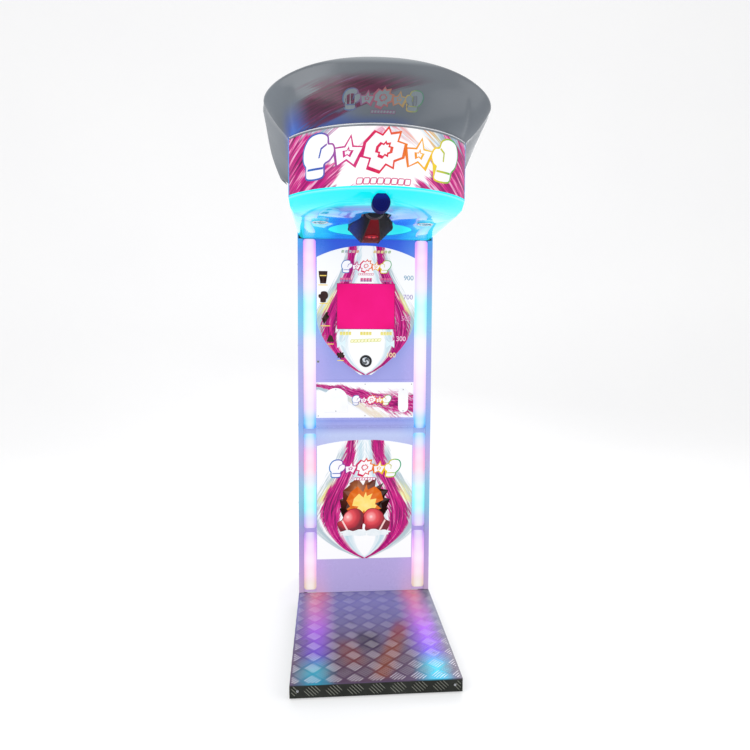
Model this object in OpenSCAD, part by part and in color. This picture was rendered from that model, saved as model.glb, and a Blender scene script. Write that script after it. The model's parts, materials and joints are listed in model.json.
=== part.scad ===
// Boxing punch machine: a slim upright cabinet on a tread-plate platform, with an
// overhanging head that stores a swinging punch bag under a lit sign and a flared hood.
// Lengths in mm. +Z up, -Y is the player's side. The origin is on the floor, at the
// centre of the machine's footprint.

/* [Cabinet] */
// Width of the cabinet, the platform and the head
cabinet_w = 580; // [520:10:680]
// Depth of the upright cabinet
cabinet_d = 360; // [300:10:480]
// Thickness of the steel sheets
sheet_t = 3; // [2:0.5:4]
// Side of the square frame tubes
tube = 25; // [20:1:30]
// Height of the head's underside above the floor
underside_z = 1605; // [1500:5:1750]

/* [Platform] */
// Depth of the platform in front of the cabinet
platform_d = 692; // [560:4:800]
// Height of the platform's tread plate
platform_h = 53; // [48:1:80]
// Thickness of the tread plate
deck_t = 4; // [3:0.5:6]
// Gap under the platform's skirt
skirt_gap = 6; // [5:0.5:12]
// Diameter of a levelling foot's pad
foot_d = 36; // [28:1:38]

/* [Wheels and handle] */
// Diameter of the transport wheels
wheel_d = 76; // [60:2:90]
// Width of a transport wheel
wheel_w = 26; // [20:1:34]
// Diameter of the wheels' axle
axle_d = 12; // [8:1:16]
// Distance between the wheels' centres
wheel_track = 400; // [300:10:440]
// Width of the rear handle
handle_w = 300; // [200:10:360]
// Diameter of the handle's bar
handle_bar_d = 24; // [18:1:30]

/* [Light bars] */
// Width of a light bar
bar_w = 54; // [40:1:60]
// Width of the cabinet's edge outside a light bar
bar_edge = 23; // [18:1:40]
// How far a light bar stands out of the cabinet
bar_out = 9; // [5:0.5:14]
// Gap between two light bars in a row
bar_gap = 22; // [10:1:40]
// Top of the lowest light bar
low_bar_top = 326; // [250:2:400]
// Top of the middle light bar
mid_bar_top = 767; // [680:1:800]

/* [Score panel] */
// How far the score panel stands out of the cabinet
score_out = 34; // [26:1:60]
// Bottom tip of the shield-shaped score panel
score_low_z = 1026; // [1015:1:1050]
// Height where the shield's sides start to curve in
score_bend_z = 1272; // [1220:2:1300]
// Height of the shield's upper corners
score_top_z = 1525; // [1480:1:1540]
// Rise of the shield's arched top
score_arch = 50; // [30:1:60]
// Thickness of the acrylic panels
acrylic_t = 4; // [3:0.5:6]
// Width of the screen's visible area
screen_w = 248; // [200:2:280]
// Height of the screen's visible area
screen_h = 194; // [150:2:210]
// Height of the screen's centre
screen_z = 1319; // [1300:1:1340]
// Diameter of the start button's cap
button_d = 46; // [30:1:56]
// Travel of the start button
button_travel = 3; // [2:0.5:5]
// Height of the start button's centre
button_z = 1086; // [1080:1:1100]

/* [Console] */
// Bottom of the printed console strip
console_low_z = 836; // [820:1:850]
// Top of the printed console strip
console_top_z = 992; // [980:1:1000]
// Width of the arched cover plate for a note acceptor
arch_plate_w = 105; // [90:1:120]
// Width of the pill-shaped cover plate for a coin slot
pill_plate_w = 44; // [36:1:60]
// Height of both cover plates
cover_h = 108; // [90:1:120]

/* [Lower panel] */
// Bottom of the lower art panel
art_low_z = 204; // [180:2:260]
// Height of the lower art panel's upper corners
art_top_z = 712; // [680:2:724]
// Rise of the art panel's arched top
art_arch = 26; // [10:1:34]

/* [Head] */
// Distance from the cabinet's front to the ends of the sign
head_reach = 600; // [540:5:680]
// How far the sign bows forward between its ends
sign_bow = 170; // [120:5:200]
// Height of the sign
sign_h = 184; // [150:2:220]
// Height of the rounded lip under the sign
lip_h = 43; // [36:1:60]
// How far the lip's bottom edge lies behind the sign
lip_setback = 143; // [110:1:160]
// Radius of the dome under the sign
dome_r = 28; // [20:1:32]
// Diameter of a downlight in the underside
downlight_d = 62; // [50:1:80]

/* [Punch bag] */
// Distance from the cabinet's front to the bag's pivot
pivot_reach = 560; // [540:5:590]
// Height of the pivot above the underside
pivot_up = 37; // [34:1:50]
// Diameter of the pivot shaft
shaft_d = 20; // [16:1:24]
// Largest radius of the bag
bag_r = 92; // [70:1:100]
// Length of the bag along its axis
bag_len = 372; // [300:4:390]
// Distance from the pivot to the bag's mounting disc
arm_len = 60; // [52:1:70]
// Radius of the pocket around the bag
pocket_r = 160; // [150:1:180]

/* [Hood] */
// Largest half width of the hood's rim
hood_half_w = 365; // [330:5:420]
// Height of the rim above the head's roof at its centre
hood_rise = 199; // [150:1:260]
// Height of the rim above the roof at its widest points
hood_side_rise = 101; // [60:1:140]
// Radius of the hood's rolled rim
rim_r = 17; // [10:1:20]
// Thickness of the hood's shell
hood_t = 5; // [4:0.5:8]

/* [Rear door] */
// Width of the rear service door
door_w = 400; // [300:10:440]
// Bottom of the rear service door
door_low_z = 330; // [300:5:400]
// Top of the rear service door
door_top_z = 1130; // [900:5:1180]
// Radius of the door's hinge pins
hinge_pin_r = 4; // [3:0.5:6]

/* [Hidden] */

$fa = 5;
$fs = 1.2;

// Clearances
fit = 0.3;             // between parts that are only assembled together
run = 0.05;            // radial, around a shaft that turns
e = 1;                 // how far a cutter passes the surface it cuts

// Widths
half_w = cabinet_w / 2;
inner_w = half_w - sheet_t;                  // inner face of a side panel
bar_out_x = half_w - bar_edge;               // outer edge of a light bar's seat
bar_in_x = bar_out_x - bar_w;                // inner edge of a light bar's seat
face_w = bar_in_x - fit;                     // half width of the front mouldings

// Depths, from the cabinet's front face at 0
channel_d = 24;                              // depth of a light bar's channel
frame_front_y = channel_d;                   // front of the frame's front uprights
frame_back_y = cabinet_d - sheet_t - tube - fit;
board_y = frame_front_y + tube;              // back of the front uprights

// Heights
roof_z = underside_z + lip_h + sign_h;       // underside of the roof sheet
roof_top_z = roof_z + sheet_t + 1;
sign_low_z = underside_z + lip_h;
base_z = skirt_gap + 7;                      // underside of the base tubes
base_top_z = platform_h - deck_t;
base_tube_h = base_top_z - base_z;

// The sign's arc: its radius, and the centre behind it
sign_r = (pow(half_w, 2) + pow(sign_bow, 2)) / (2 * sign_bow);
sign_cy = -(head_reach + sign_bow - sign_r);
sign_half_deg = asin(half_w / sign_r);

handle_out = 60;                             // how far the handle stands behind the cabinet

// The bag's pivot
pivot_y = -pivot_reach;
pivot_z = underside_z + pivot_up;

// Colours
steel_dark = "#2b2b30";
lavender = "#b9b4e2";
lit_white = "#f4f0ff";
cyan_lit = "#35e6f2";
hood_grey = "#8d9196";
black = "#161618";
zinc = "#b8bcc2";
red = "#7d1218";

// Moves a piece from the cabinet's frame into the machine's and colours it
module placed(c) {
    color(c) translate([0, front_y, 0]) children();
}

// A block between two corners
module block(a, b) {
    translate(a) cube(b - a);
}

// A block and its mirror image on the other side
module both_blocks(a, b) {
    block(a, b);
    mirror([1, 0, 0]) block(a, b);
}

module both() {
    children();
    mirror([1, 0, 0]) children();
}

// A sheet with a 2-D outline in X and Z, from y0 back to y1
module upright_sheet(y0, y1) {
    translate([0, y1, 0]) rotate([90, 0, 0]) linear_extrude(y1 - y0) children();
}

// A rod along X between two ends
module rod_x(x0, x1, r) {
    translate([x0, 0, 0]) rotate([0, 90, 0]) cylinder(h = x1 - x0, r = r);
}

// A rod along Y between two ends
module rod_y(y0, y1, r) {
    translate([0, y0, 0]) rotate([-90, 0, 0]) cylinder(h = y1 - y0, r = r);
}

// A rod along Z between two ends
module rod_z(z0, z1, r) {
    translate([0, 0, z0]) cylinder(h = z1 - z0, r = r);
}

module rounded_rect(x0, z0, x1, z1, r) {
    translate([x0 + r, z0 + r]) offset(r) square([x1 - x0 - 2 * r, z1 - z0 - 2 * r]);
}

// ---------------------------------------------------------------- base

foot_front_y = -platform_d + 50;
foot_rear_y = cabinet_d - 60;
rail_w = 30;
rail_x = half_w - deck_t - rail_w - fit;

module base_frame() {
    rail_front_y = -platform_d + deck_t + fit;
    rail_back_y = cabinet_d - sheet_t - fit;
    cross_ys = [rail_front_y, -platform_d / 2, -rail_w, rail_back_y - rail_w];
    placed(steel_dark) {
        both_blocks([rail_x, rail_front_y, base_z], [rail_x + rail_w, rail_back_y, base_top_z]);
        for (y = cross_ys)
            block([-rail_x, y, base_z], [rail_x, y + rail_w, base_top_z]);
    }
}

screw_d = 9;

// A tread plate with its front and sides folded down
module platform_deck() {
    placed("#3a3b42") difference() {
        block([-half_w, -platform_d, skirt_gap], [half_w, -fit, platform_h]);
        block([-half_w + deck_t, -platform_d + deck_t, skirt_gap - e],
              [half_w - deck_t, e, platform_h - deck_t]);
    }
}

// Dome-headed screws near the ends of the platform's front skirt and on its sides
module deck_screws() {
    screw_z = base_z + base_tube_h / 2;
    placed(zinc) {
        both() translate([rail_x + 8, -platform_d, screw_z]) rod_y(-3, 0, screw_d / 2);
        for (y = [-platform_d * 0.8, -platform_d * 0.25])
            both() translate([half_w, y, screw_z]) rod_x(0, 2.5, screw_d / 2);
    }
}

// Four pads on threaded stems, each with a lock nut against the frame
module levelling_feet() {
    pad_h = 7;
    placed(black) for (y = [foot_front_y, foot_rear_y]) both()
        translate([rail_x + rail_w / 2, y, 0]) {
            cylinder(h = pad_h, d1 = foot_d, d2 = foot_d * 0.7);
            rod_z(pad_h, base_z - 4, 5);
            translate([0, 0, base_z - 4]) cylinder(h = 4, r = 9, $fn = 6);
        }
}

// ---------------------------------------------------------------- wheels

wheel_x = wheel_track / 2;
wheel_y = cabinet_d + wheel_d / 2 + 8;
wheel_z = wheel_d / 2 + 4;
fork_t = 4;
fork_gap = wheel_w / 2 + 3;

module wheel_brackets() {
    placed(steel_dark) both() for (s = [-1, 1])
        translate([wheel_x + s * (fork_gap + fork_t / 2) - fork_t / 2, 0, 0])
            difference() {
                union() {
                    block([0, cabinet_d, wheel_z - 16], [fork_t, wheel_y, wheel_z + 60]);
                    translate([0, wheel_y, wheel_z]) rod_x(0, fork_t, 16);
                }
                translate([0, wheel_y, wheel_z]) rod_x(-e, fork_t + e, axle_d / 2 + fit);
                translate([-e, wheel_y, wheel_z + 16]) rotate([35, 0, 0])
                    cube([fork_t + 2 * e, 80, 100]);
            }
}

module wheel_axle() {
    end_x = wheel_x + fork_gap + fork_t + 6;
    placed(zinc) translate([0, wheel_y, wheel_z]) {
        rod_x(-end_x, end_x, axle_d / 2);
        both() rod_x(end_x - 4, end_x, axle_d / 2 + 4);
    }
}

// A moulded wheel with a raised hub, on the axle
module transport_wheel(x) {
    hub_r = 16;
    r = wheel_d / 2;
    half = wheel_w / 2;
    side = [[0, half], [hub_r, half], [hub_r, half - 4], [r - 9, half - 4],
            [r - 7, half], [r - 3, half], [r, half - 4]];
    placed(black) translate([x, wheel_y, wheel_z]) difference() {
        rotate([0, 90, 0]) rotate_extrude()
            polygon(concat(side, [for (i = [len(side) - 1:-1:0]) [side[i][0], -side[i][1]]]));
        rod_x(-wheel_w, wheel_w, axle_d / 2 + run);
    }
}

module left_wheel() { transport_wheel(-wheel_x); }
module right_wheel() { transport_wheel(wheel_x); }

// ---------------------------------------------------------------- cabinet

upright_x = inner_w - tube - fit;

// Four uprights with cross tubes at the front, the back and the sides
module tower_frame() {
    front_zs = concat([500, 800, 1010], screen_rail_zs, [1560]);
    back_zs = [200, door_top_z + 60, roof_z - tube];
    placed(steel_dark) {
        for (y = [frame_front_y, frame_back_y])
            both_blocks([upright_x, y, base_top_z], [upright_x + tube, y + tube, roof_z]);
        for (z = front_zs)
            block([-upright_x, frame_front_y, z], [upright_x, board_y, z + tube]);
        for (z = back_zs)
            block([-upright_x, frame_back_y, z], [upright_x, frame_back_y + tube, z + tube]);
        for (z = [base_top_z + 120, 900, 1530])
            both_blocks([upright_x, board_y, z], [upright_x + tube, frame_back_y, z + tube]);
    }
}

// A side of the cabinet and the head in one sheet, with its front edge folded in
module side_panel() {
    flange_x = bar_out_x + fit;
    placed(lavender) {
        translate([inner_w, 0, 0]) rotate([90, 0, 90]) linear_extrude(sheet_t) {
            translate([0, skirt_gap]) square([cabinet_d, roof_top_z - skirt_gap]);
            translate([-head_reach, sign_low_z + fit])
                square([head_reach + e, roof_top_z - sign_low_z - fit]);
        }
        block([flange_x, 0, platform_h + fit], [inner_w, sheet_t, underside_z - fit]);
    }
}

module right_side_panel() { side_panel(); }
module left_side_panel() { mirror([1, 0, 0]) side_panel(); }

door_x = door_w / 2;
door_lap = 12;
inlet_x = -150;
inlet_z = 150;
vent_zs = [for (i = [0:7]) 1240 + i * 26];

// The rear sheet, with the service opening, a louvred vent and the power inlet's cut-out
module back_panel() {
    placed(lavender) difference() {
        block([-inner_w + fit, cabinet_d - sheet_t, skirt_gap],
              [inner_w - fit, cabinet_d, roof_z - fit]);
        block([-door_x + door_lap, 0, door_low_z + door_lap],
              [door_x - door_lap, cabinet_d + e, door_top_z - door_lap]);
        for (z = vent_zs)
            block([-110, cabinet_d - sheet_t - e, z], [110, cabinet_d + e, z + 10]);
        block([inlet_x - 25, cabinet_d - sheet_t - e, inlet_z - 30],
              [inlet_x + 25, cabinet_d + e, inlet_z + 30]);
    }
}

hinge_x = -door_x - 9;
hinge_y = cabinet_d + 9;
hinge_zs = [door_low_z + 90, door_top_z - 130];
knuckle_h = 40;
door_y = cabinet_d + fit;
lock_x = door_x - 30;
lock_z = (door_low_z + door_top_z) / 2;
lock_r = 9.5;

// A lipped steel door with a knuckle at each hinge and a bore for its lock
module rear_door() {
    placed(lavender) difference() {
        union() {
            block([-door_x, door_y, door_low_z], [door_x, door_y + sheet_t, door_top_z]);
            for (z = hinge_zs) {
                translate([hinge_x, hinge_y, 0]) rod_z(z, z + knuckle_h, hinge_pin_r + 3);
                block([hinge_x, door_y + sheet_t, z], [-door_x + 25, hinge_y, z + knuckle_h]);
            }
        }
        for (z = hinge_zs)
            translate([hinge_x, hinge_y, 0])
                rod_z(z - e, z + knuckle_h + e, hinge_pin_r + run);
        translate([lock_x, 0, lock_z]) rod_y(cabinet_d - 40, door_y + 20, lock_r + run);
    }
}

// Fixed leaves on the rear sheet, each with a pin that stands up through a knuckle
module door_hinge_pins() {
    seat_h = 18;
    placed(zinc) for (z = hinge_zs) {
        translate([hinge_x, hinge_y, 0]) {
            rod_z(z - fit - seat_h, z - fit, hinge_pin_r + 3);
            rod_z(z - fit - 1, z + knuckle_h + 3, hinge_pin_r);
        }
        block([hinge_x - 26, cabinet_d, z - fit - seat_h], [hinge_x, cabinet_d + 3, z - fit]);
        block([hinge_x - 6, cabinet_d + 3, z - fit - seat_h], [hinge_x + 6, hinge_y, z - fit]);
    }
}

// A quarter-turn cam lock: a flanged barrel, a key slot and the cam behind the door
module door_lock_cam() {
    cam_y = cabinet_d - sheet_t - 6;
    placed(zinc) translate([lock_x, 0, lock_z]) difference() {
        union() {
            rod_y(cam_y - 4, door_y + sheet_t + 4, lock_r);
            rod_y(door_y + sheet_t + fit, door_y + sheet_t + 4, lock_r + 3);
            block([-7, cam_y - 4, -7], [7, cam_y, 34]);
        }
        block([-1, door_y + sheet_t + 1, -5], [1, door_y + sheet_t + 10, 5]);
    }
}

// A tubular handle on two foot plates
module rear_handle() {
    bar_y = cabinet_d + handle_out - handle_bar_d / 2;
    handle_z = 1500;
    placed(steel_dark) translate([0, 0, handle_z]) {
        translate([0, bar_y, 0]) rod_x(-handle_w / 2, handle_w / 2, handle_bar_d / 2);
        both() translate([handle_w / 2 - handle_bar_d / 2, 0, 0]) {
            rod_y(cabinet_d + 4, bar_y, handle_bar_d / 2 - 1);
            rod_y(cabinet_d, cabinet_d + 4, handle_bar_d / 2 + 10);
        }
    }
}

rocker_z = inlet_z + 14;

// A mains inlet with an on-off switch in one black frame
module power_inlet() {
    placed(black) difference() {
        union() {
            block([inlet_x - 30, cabinet_d, inlet_z - 35], [inlet_x + 30, cabinet_d + 4, inlet_z + 35]);
            block([inlet_x - 24, cabinet_d - 30, inlet_z - 29], [inlet_x + 24, cabinet_d, inlet_z + 29]);
        }
        block([inlet_x - 13, cabinet_d - 16, inlet_z - 24], [inlet_x + 13, cabinet_d + 5, inlet_z - 4]);
        block([inlet_x - 11, cabinet_d - 16, rocker_z - 10], [inlet_x + 11, cabinet_d + 5, rocker_z + 10]);
    }
}

// A rocker that tips about a bar across its middle
module power_rocker() {
    placed(red) translate([inlet_x, cabinet_d, rocker_z]) {
        block([-10, -6, -8.5], [10, 2, 0]);
        rod_x(-10.7, 10.7, 6);
        rotate([-12, 0, 0]) block([-10, -4, 0], [10, 3, 8.5]);
    }
}

// ---------------------------------------------------------------- light bars

bar_low_z = platform_h + 15;
bar_spans = [
    [mid_bar_top + bar_gap, underside_z - 2],
    [low_bar_top + bar_gap, mid_bar_top],
    [bar_low_z, low_bar_top]
];
bar_x = (bar_in_x + bar_out_x) / 2;

// A rounded opal diffuser between two heights
module light_bar(side, span) {
    corner = 9;
    placed(lit_white) translate([side * bar_x, 0, 0])
        upright_sheet(-bar_out, 5)
            rounded_rect(-bar_w / 2 + fit, span[0], bar_w / 2 - fit, span[1], corner);
}

module left_upper_bar() { light_bar(-1, bar_spans[0]); }
module left_middle_bar() { light_bar(-1, bar_spans[1]); }
module left_lower_bar() { light_bar(-1, bar_spans[2]); }
module right_upper_bar() { light_bar(1, bar_spans[0]); }
module right_middle_bar() { light_bar(1, bar_spans[1]); }
module right_lower_bar() { light_bar(1, bar_spans[2]); }

// A U-shaped channel behind a column of light bars
module bar_channel(side) {
    wall = 2;
    placed(zinc) translate([side * bar_x, 0, 0]) difference() {
        block([-bar_w / 2, 5 + fit, platform_h + fit], [bar_w / 2, channel_d, underside_z - fit]);
        block([-bar_w / 2 + wall, 0, platform_h + fit + wall],
              [bar_w / 2 - wall, channel_d - wall, underside_z - fit - wall]);
    }
}

module left_bar_channel() { bar_channel(-1); }
module right_bar_channel() { bar_channel(1); }

// A strip board with its LEDs behind each light bar
module bar_led_boards() {
    board_w = 16;
    pitch = 60;
    placed("#e8e8e8") both() translate([bar_x, channel_d - 2, 0]) for (span = bar_spans) {
        block([-board_w / 2, -2, span[0] + 8], [board_w / 2, 0, span[1] - 8]);
        for (z = [span[0] + 30 : pitch : span[1] - 30])
            block([-3, -4, z - 3], [3, -2, z + 3]);
    }
}

// ---------------------------------------------------------------- score panel

// Shield outline: an arched top, straight sides and a rounded point, grown by d
module shield_outline(d = 0) {
    w = face_w - 3;
    top_r = (pow(w, 2) + pow(score_arch, 2)) / (2 * score_arch);
    drop = score_bend_z - score_low_z;
    tip_w = 24;
    offset(d) intersection() {
        translate([-w, score_low_z]) square([2 * w, score_top_z - score_low_z + score_arch]);
        translate([0, score_top_z + score_arch - top_r]) circle(r = top_r, $fn = 240);
        union() {
            translate([-w, score_bend_z]) square([2 * w, score_top_z]);
            polygon([for (s = [-1, 1], i = [0:14]) let (f = s < 0 ? i / 14 : 1 - i / 14)
                [s * (tip_w + (w - tip_w) * (1 - pow(f, 1.9))), score_bend_z - drop * f]]);
        }
    }
}

console_split_z = score_low_z - 22;          // where the upper moulding meets the console's
cheek = 3;                                   // how far the raised seat draws in towards its top
hollow = 12;                                 // wall of the raised seat
wall_t = 3;                                  // a moulding's side walls
screen_rail_zs = [screen_z - 80, screen_z + 70];

// A moulding's two side walls, back to the frame
module side_walls(z0, z1) {
    both_blocks([face_w - wall_t, 0, z0], [face_w, frame_front_y, z1]);
}

// A formed surround with a raised, hollow seat for the shield
module upper_moulding() {
    placed(lavender) difference() {
        union() {
            upright_sheet(0, acrylic_t) translate([-face_w, console_split_z + fit / 2])
                square([2 * face_w, underside_z - console_split_z - fit]);
            side_walls(console_split_z + fit / 2, underside_z - fit / 2);
            hull() {
                upright_sheet(-0.5, 0) shield_outline(2);
                upright_sheet(-score_out + acrylic_t, -score_out + acrylic_t + 1) shield_outline(-cheek);
            }
        }
        upright_sheet(-score_out - e, -score_out + acrylic_t + 6) rounded_rect(
            -screen_w / 2 - 12, screen_z - screen_h / 2 - 12,
            screen_w / 2 + 12, screen_z + screen_h / 2 + 12, 1);
        upright_sheet(-score_out + acrylic_t + 5, acrylic_t + e) shield_outline(-cheek - hollow);
        translate([0, 0, button_z]) rod_y(-score_out - e, 20, button_d / 2 + 1.5);
        translate([lock_front_x, 0, lock_front_z]) rod_y(-20, 20, lock_front_r + fit);
    }
}

// A printed acrylic shield with a window for the screen and a bore for the button
module score_panel() {
    placed(lit_white) difference() {
        upright_sheet(-score_out, -score_out + acrylic_t - fit / 2) shield_outline(-1);
        upright_sheet(-score_out - e, 0) translate([-screen_w / 2, screen_z - screen_h / 2])
            square([screen_w, screen_h]);
        translate([0, 0, button_z]) rod_y(-score_out - e, 0, button_d / 2 + 1);
    }
}

screen_face_y = -score_out + acrylic_t + fit;
screen_back_y = screen_face_y + 26;

module screen() {
    rim = 11;
    placed("#f0007c") {
        block([-screen_w / 2 - rim, screen_face_y, screen_z - screen_h / 2 - rim],
              [screen_w / 2 + rim, screen_face_y + 9, screen_z + screen_h / 2 + rim]);
        block([-screen_w / 2 + 10, screen_face_y + 9, screen_z - screen_h / 2 + 10],
              [screen_w / 2 - 10, screen_back_y, screen_z + screen_h / 2 - 10]);
    }
}

// Two straps behind the screen, stood off from the frame's front cross tubes
module screen_bracket() {
    strap_w = 24;
    x = screen_w / 2 - 50;
    placed(steel_dark) {
        both_blocks([x, screen_back_y, screen_z - screen_h / 2 + 12],
                    [x + strap_w, screen_back_y + 3, screen_z + screen_h / 2 - 2]);
        for (z = screen_rail_zs)
            both_blocks([x, screen_back_y + 3, z], [x + strap_w, frame_front_y, z + tube]);
    }
}

// The button's threaded barrel and bezel, open in front for its cap
module button_housing() {
    bore = button_d / 2 - 2.5;
    placed(black) translate([0, 0, button_z]) difference() {
        union() {
            rod_y(-score_out - 4, -score_out - fit / 2, button_d / 2 + 3);
            rod_y(-score_out - fit / 2, -score_out + 40, button_d / 2);
        }
        rod_y(-score_out - 5, -score_out + 36, bore);
    }
}

module button_cap() {
    cap_r = button_d / 2 - 3;
    placed("#e9e9e9") translate([0, 0, button_z]) {
        rod_y(-score_out - 7, -score_out + 14, cap_r);
        rod_y(-score_out + 14, -score_out + 30, cap_r / 2);
    }
}

lock_front_r = 4;
lock_front_x = -face_w + 8.5;
lock_front_z = 1082;

// A small key lock at the surround's left edge
module front_lock() {
    placed(black) translate([lock_front_x, 0, lock_front_z]) difference() {
        union() {
            rod_y(-3, 24, lock_front_r);
            rod_y(-3, -fit, lock_front_r + 1.5);
        }
        block([-0.6, -4, -2.5], [0.6, -1.5, 2.5]);
    }
}

// ---------------------------------------------------------------- console

lip_low_z = console_low_z - 42;
lip_out = 26;
panel_seat = 2.5;

// A formed panel with a rounded shelf under the printed strip
module console_moulding() {
    placed(lavender) {
        difference() {
            union() {
                upright_sheet(0, acrylic_t) translate([-face_w, lip_low_z])
                    square([2 * face_w, console_split_z - fit / 2 - lip_low_z]);
                side_walls(lip_low_z, console_split_z - fit / 2);
            }
            upright_sheet(-e, panel_seat) translate([-face_w - e, console_low_z])
                square([2 * face_w + 2 * e, console_top_z - console_low_z]);
        }
        translate([-face_w, 0, 0]) rotate([90, 0, 90]) linear_extrude(2 * face_w)
            intersection() {
                translate([-lip_out, lip_low_z]) square([lip_out, 40]);
                translate([0, lip_low_z + 20]) scale([lip_out / 20, 1]) circle(r = 20);
            }
    }
}

module console_panel() {
    placed(lit_white) upright_sheet(0.2, panel_seat - fit / 2)
        translate([-face_w + 0.5, console_low_z + fit])
            square([2 * face_w - 1, console_top_z - console_low_z - 2 * fit]);
}

cover_z = (console_low_z + console_top_z) / 2 - 1;
arch_x = -128;
pill_x = 167;
cover_t = 2;

// A tombstone-shaped blanking plate where a note acceptor can be fitted
module note_cover() {
    w = arch_plate_w / 2;
    placed("white") upright_sheet(-cover_t, 0) {
        translate([arch_x - w, cover_z - cover_h / 2]) square([2 * w, cover_h - w]);
        translate([arch_x, cover_z + cover_h / 2 - w]) circle(r = w);
    }
}

// A pill-shaped blanking plate where a coin slot can be fitted
module coin_cover() {
    r = pill_plate_w / 2;
    placed("white") upright_sheet(-cover_t, 0) hull() for (s = [-1, 1])
        translate([pill_x, cover_z + s * (cover_h / 2 - r)]) circle(r = r);
}

// Small pan-head screws around the strip and its cover plates
module console_screws() {
    r = 2.6;
    xs = [-face_w + 9, 0, face_w - 9];
    placed(zinc) {
        for (x = xs, z = [console_low_z + 9, console_top_z - 9])
            translate([x, 0, z]) rod_y(-1.6, 0.2, r);
        for (s = [-1, 1]) {
            translate([arch_x, 0, cover_z + s * (cover_h / 2 - 7)]) rod_y(-cover_t - 1.4, -cover_t, r);
            translate([pill_x, 0, cover_z + s * (cover_h / 2 - 7)]) rod_y(-cover_t - 1.4, -cover_t, r);
        }
    }
}

// ---------------------------------------------------------------- lower panel

// The art panel's outline: a rectangle with an arched top, grown by d
module art_outline(d = 0) {
    w = face_w - 3;
    r = (pow(w, 2) + pow(art_arch, 2)) / (2 * art_arch);
    offset(delta = d) intersection() {
        translate([-w, art_low_z]) square([2 * w, art_top_z - art_low_z + art_arch]);
        translate([0, art_top_z + art_arch - r]) circle(r = r, $fn = 240);
    }
}

// A formed panel with a window that the art panel fills
module lower_moulding() {
    placed(lavender) difference() {
        union() {
            upright_sheet(0, acrylic_t + 4) translate([-face_w, platform_h + fit])
                square([2 * face_w, lip_low_z - platform_h - 2 * fit]);
            side_walls(platform_h + fit, lip_low_z - fit);
        }
        upright_sheet(-e, acrylic_t + 0.2) art_outline(fit);
        upright_sheet(acrylic_t, acrylic_t + 4 + e) art_outline(-10);
    }
}

module art_panel() {
    placed(lit_white) upright_sheet(-0.5, acrylic_t) art_outline();
}

// A white board of LEDs behind the art panel, on the frame's front tubes
module art_led_board() {
    board_front_y = frame_front_y - 4;
    placed("#e8e8e8") {
        block([-face_w + 20, board_front_y, art_low_z + 20],
              [face_w - 20, frame_front_y, art_top_z]);
        for (x = [-150:50:150], z = [art_low_z + 60 : 60 : art_top_z - 40])
            block([x - 3, board_front_y - 2, z - 3], [x + 3, board_front_y, z + 3]);
    }
}

// An open-topped steel box on the base, under the coin chute
module cash_box() {
    placed(zinc) difference() {
        block([60, board_y + 20, base_top_z], [upright_x - fit, frame_back_y - 30, base_top_z + 120]);
        block([63, board_y + 23, base_top_z + 3], [upright_x - 3, frame_back_y - 33, base_top_z + 121]);
    }
}

// Mains unit with a finned cover, on the frame's side tube
module power_supply() {
    placed(zinc) translate([-upright_x, board_y + 40, 900]) {
        block([0, 0, -80], [50, 120, 100]);
        for (y = [10:20:110])
            block([50, y - 3, -70], [56, y + 3, 90]);
    }
}

// The game's circuit board on stand-offs from the frame's side tube
module game_board() {
    placed("#1f6b3a") translate([upright_x, board_y + 20, 900]) {
        block([-12, 0, -70], [-10, 150, 120]);
        for (y = [15, 135])
            translate([0, y, tube / 2]) rod_x(-10, 0, 4);
        block([-24, 40, 20], [-12, 80, 60]);
        block([-20, 100, -50], [-12, 130, 90]);
    }
}

// ---------------------------------------------------------------- head

arm_x = upright_x;
cross_ys = [-head_reach + 8, pivot_y + 40];  // the two tubes that carry the pivot plates

// Two arms from the uprights, tied by cross tubes over the pivot and the pocket
module head_frame() {
    z = roof_z - tube;
    placed(steel_dark) {
        both_blocks([arm_x, -head_reach + 8, z], [arm_x + tube, frame_front_y, roof_z]);
        for (y = concat(cross_ys, [-150]))
            block([-arm_x, y, z], [arm_x, y + tube, roof_z]);
    }
}

// The region behind the sign's arc, moved back by d and drawn in by side
module head_plan(d, side) {
    intersection() {
        translate([0, sign_cy + d]) circle(r = sign_r, $fn = 180);
        translate([-half_w + side, -head_reach - sign_bow])
            square([2 * (half_w - side), head_reach + sign_bow - fit]);
    }
    translate([-half_w + side, sign_cy + d])
        square([2 * (half_w - side), -sign_cy - d - fit]);
}

// The tray's outer or inner shape: slabs at rising heights that swell to full width
module tray_body(t) {
    levels = [[0, 1, 26], [0.12, 0.62, 13], [0.4, 0.22, 4], [1, 0, 0]];
    hull() for (l = levels)
        translate([0, 0, underside_z + t + l[0] * (lip_h - 1)])
            linear_extrude(1) head_plan(l[1] * lip_setback + t, l[2] + t);
}

pocket_cy = pivot_y + arm_len + bag_len - pocket_r + 43;
slot_half_w = 50;
neck_half_w = bag_r + 12;                    // the keyhole where its neck meets its round end
slot_front_y = pivot_y - 36;

// The keyhole that the bag and its arm swing through
module bag_opening() {
    translate([0, pocket_cy]) circle(r = pocket_r);
    polygon([for (s = [-1, 1], i = [0:3]) let (k = s < 0 ? i : 3 - i)
        [[s * neck_half_w, pocket_cy - 60], [s * slot_half_w, pivot_y + 60],
         [s * slot_half_w, pivot_y - 8], [s * (slot_half_w - 24), slot_front_y]][k]]);
}

downlight_x = 190;
downlight_y = -400;
dome_y = -head_reach - sign_bow + 26;
dome_z = underside_z + 5;
dome_sag = 9;
dome_ball_r = (pow(dome_r, 2) + pow(dome_sag, 2)) / (2 * dome_sag);
dome_len = 44;

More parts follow.
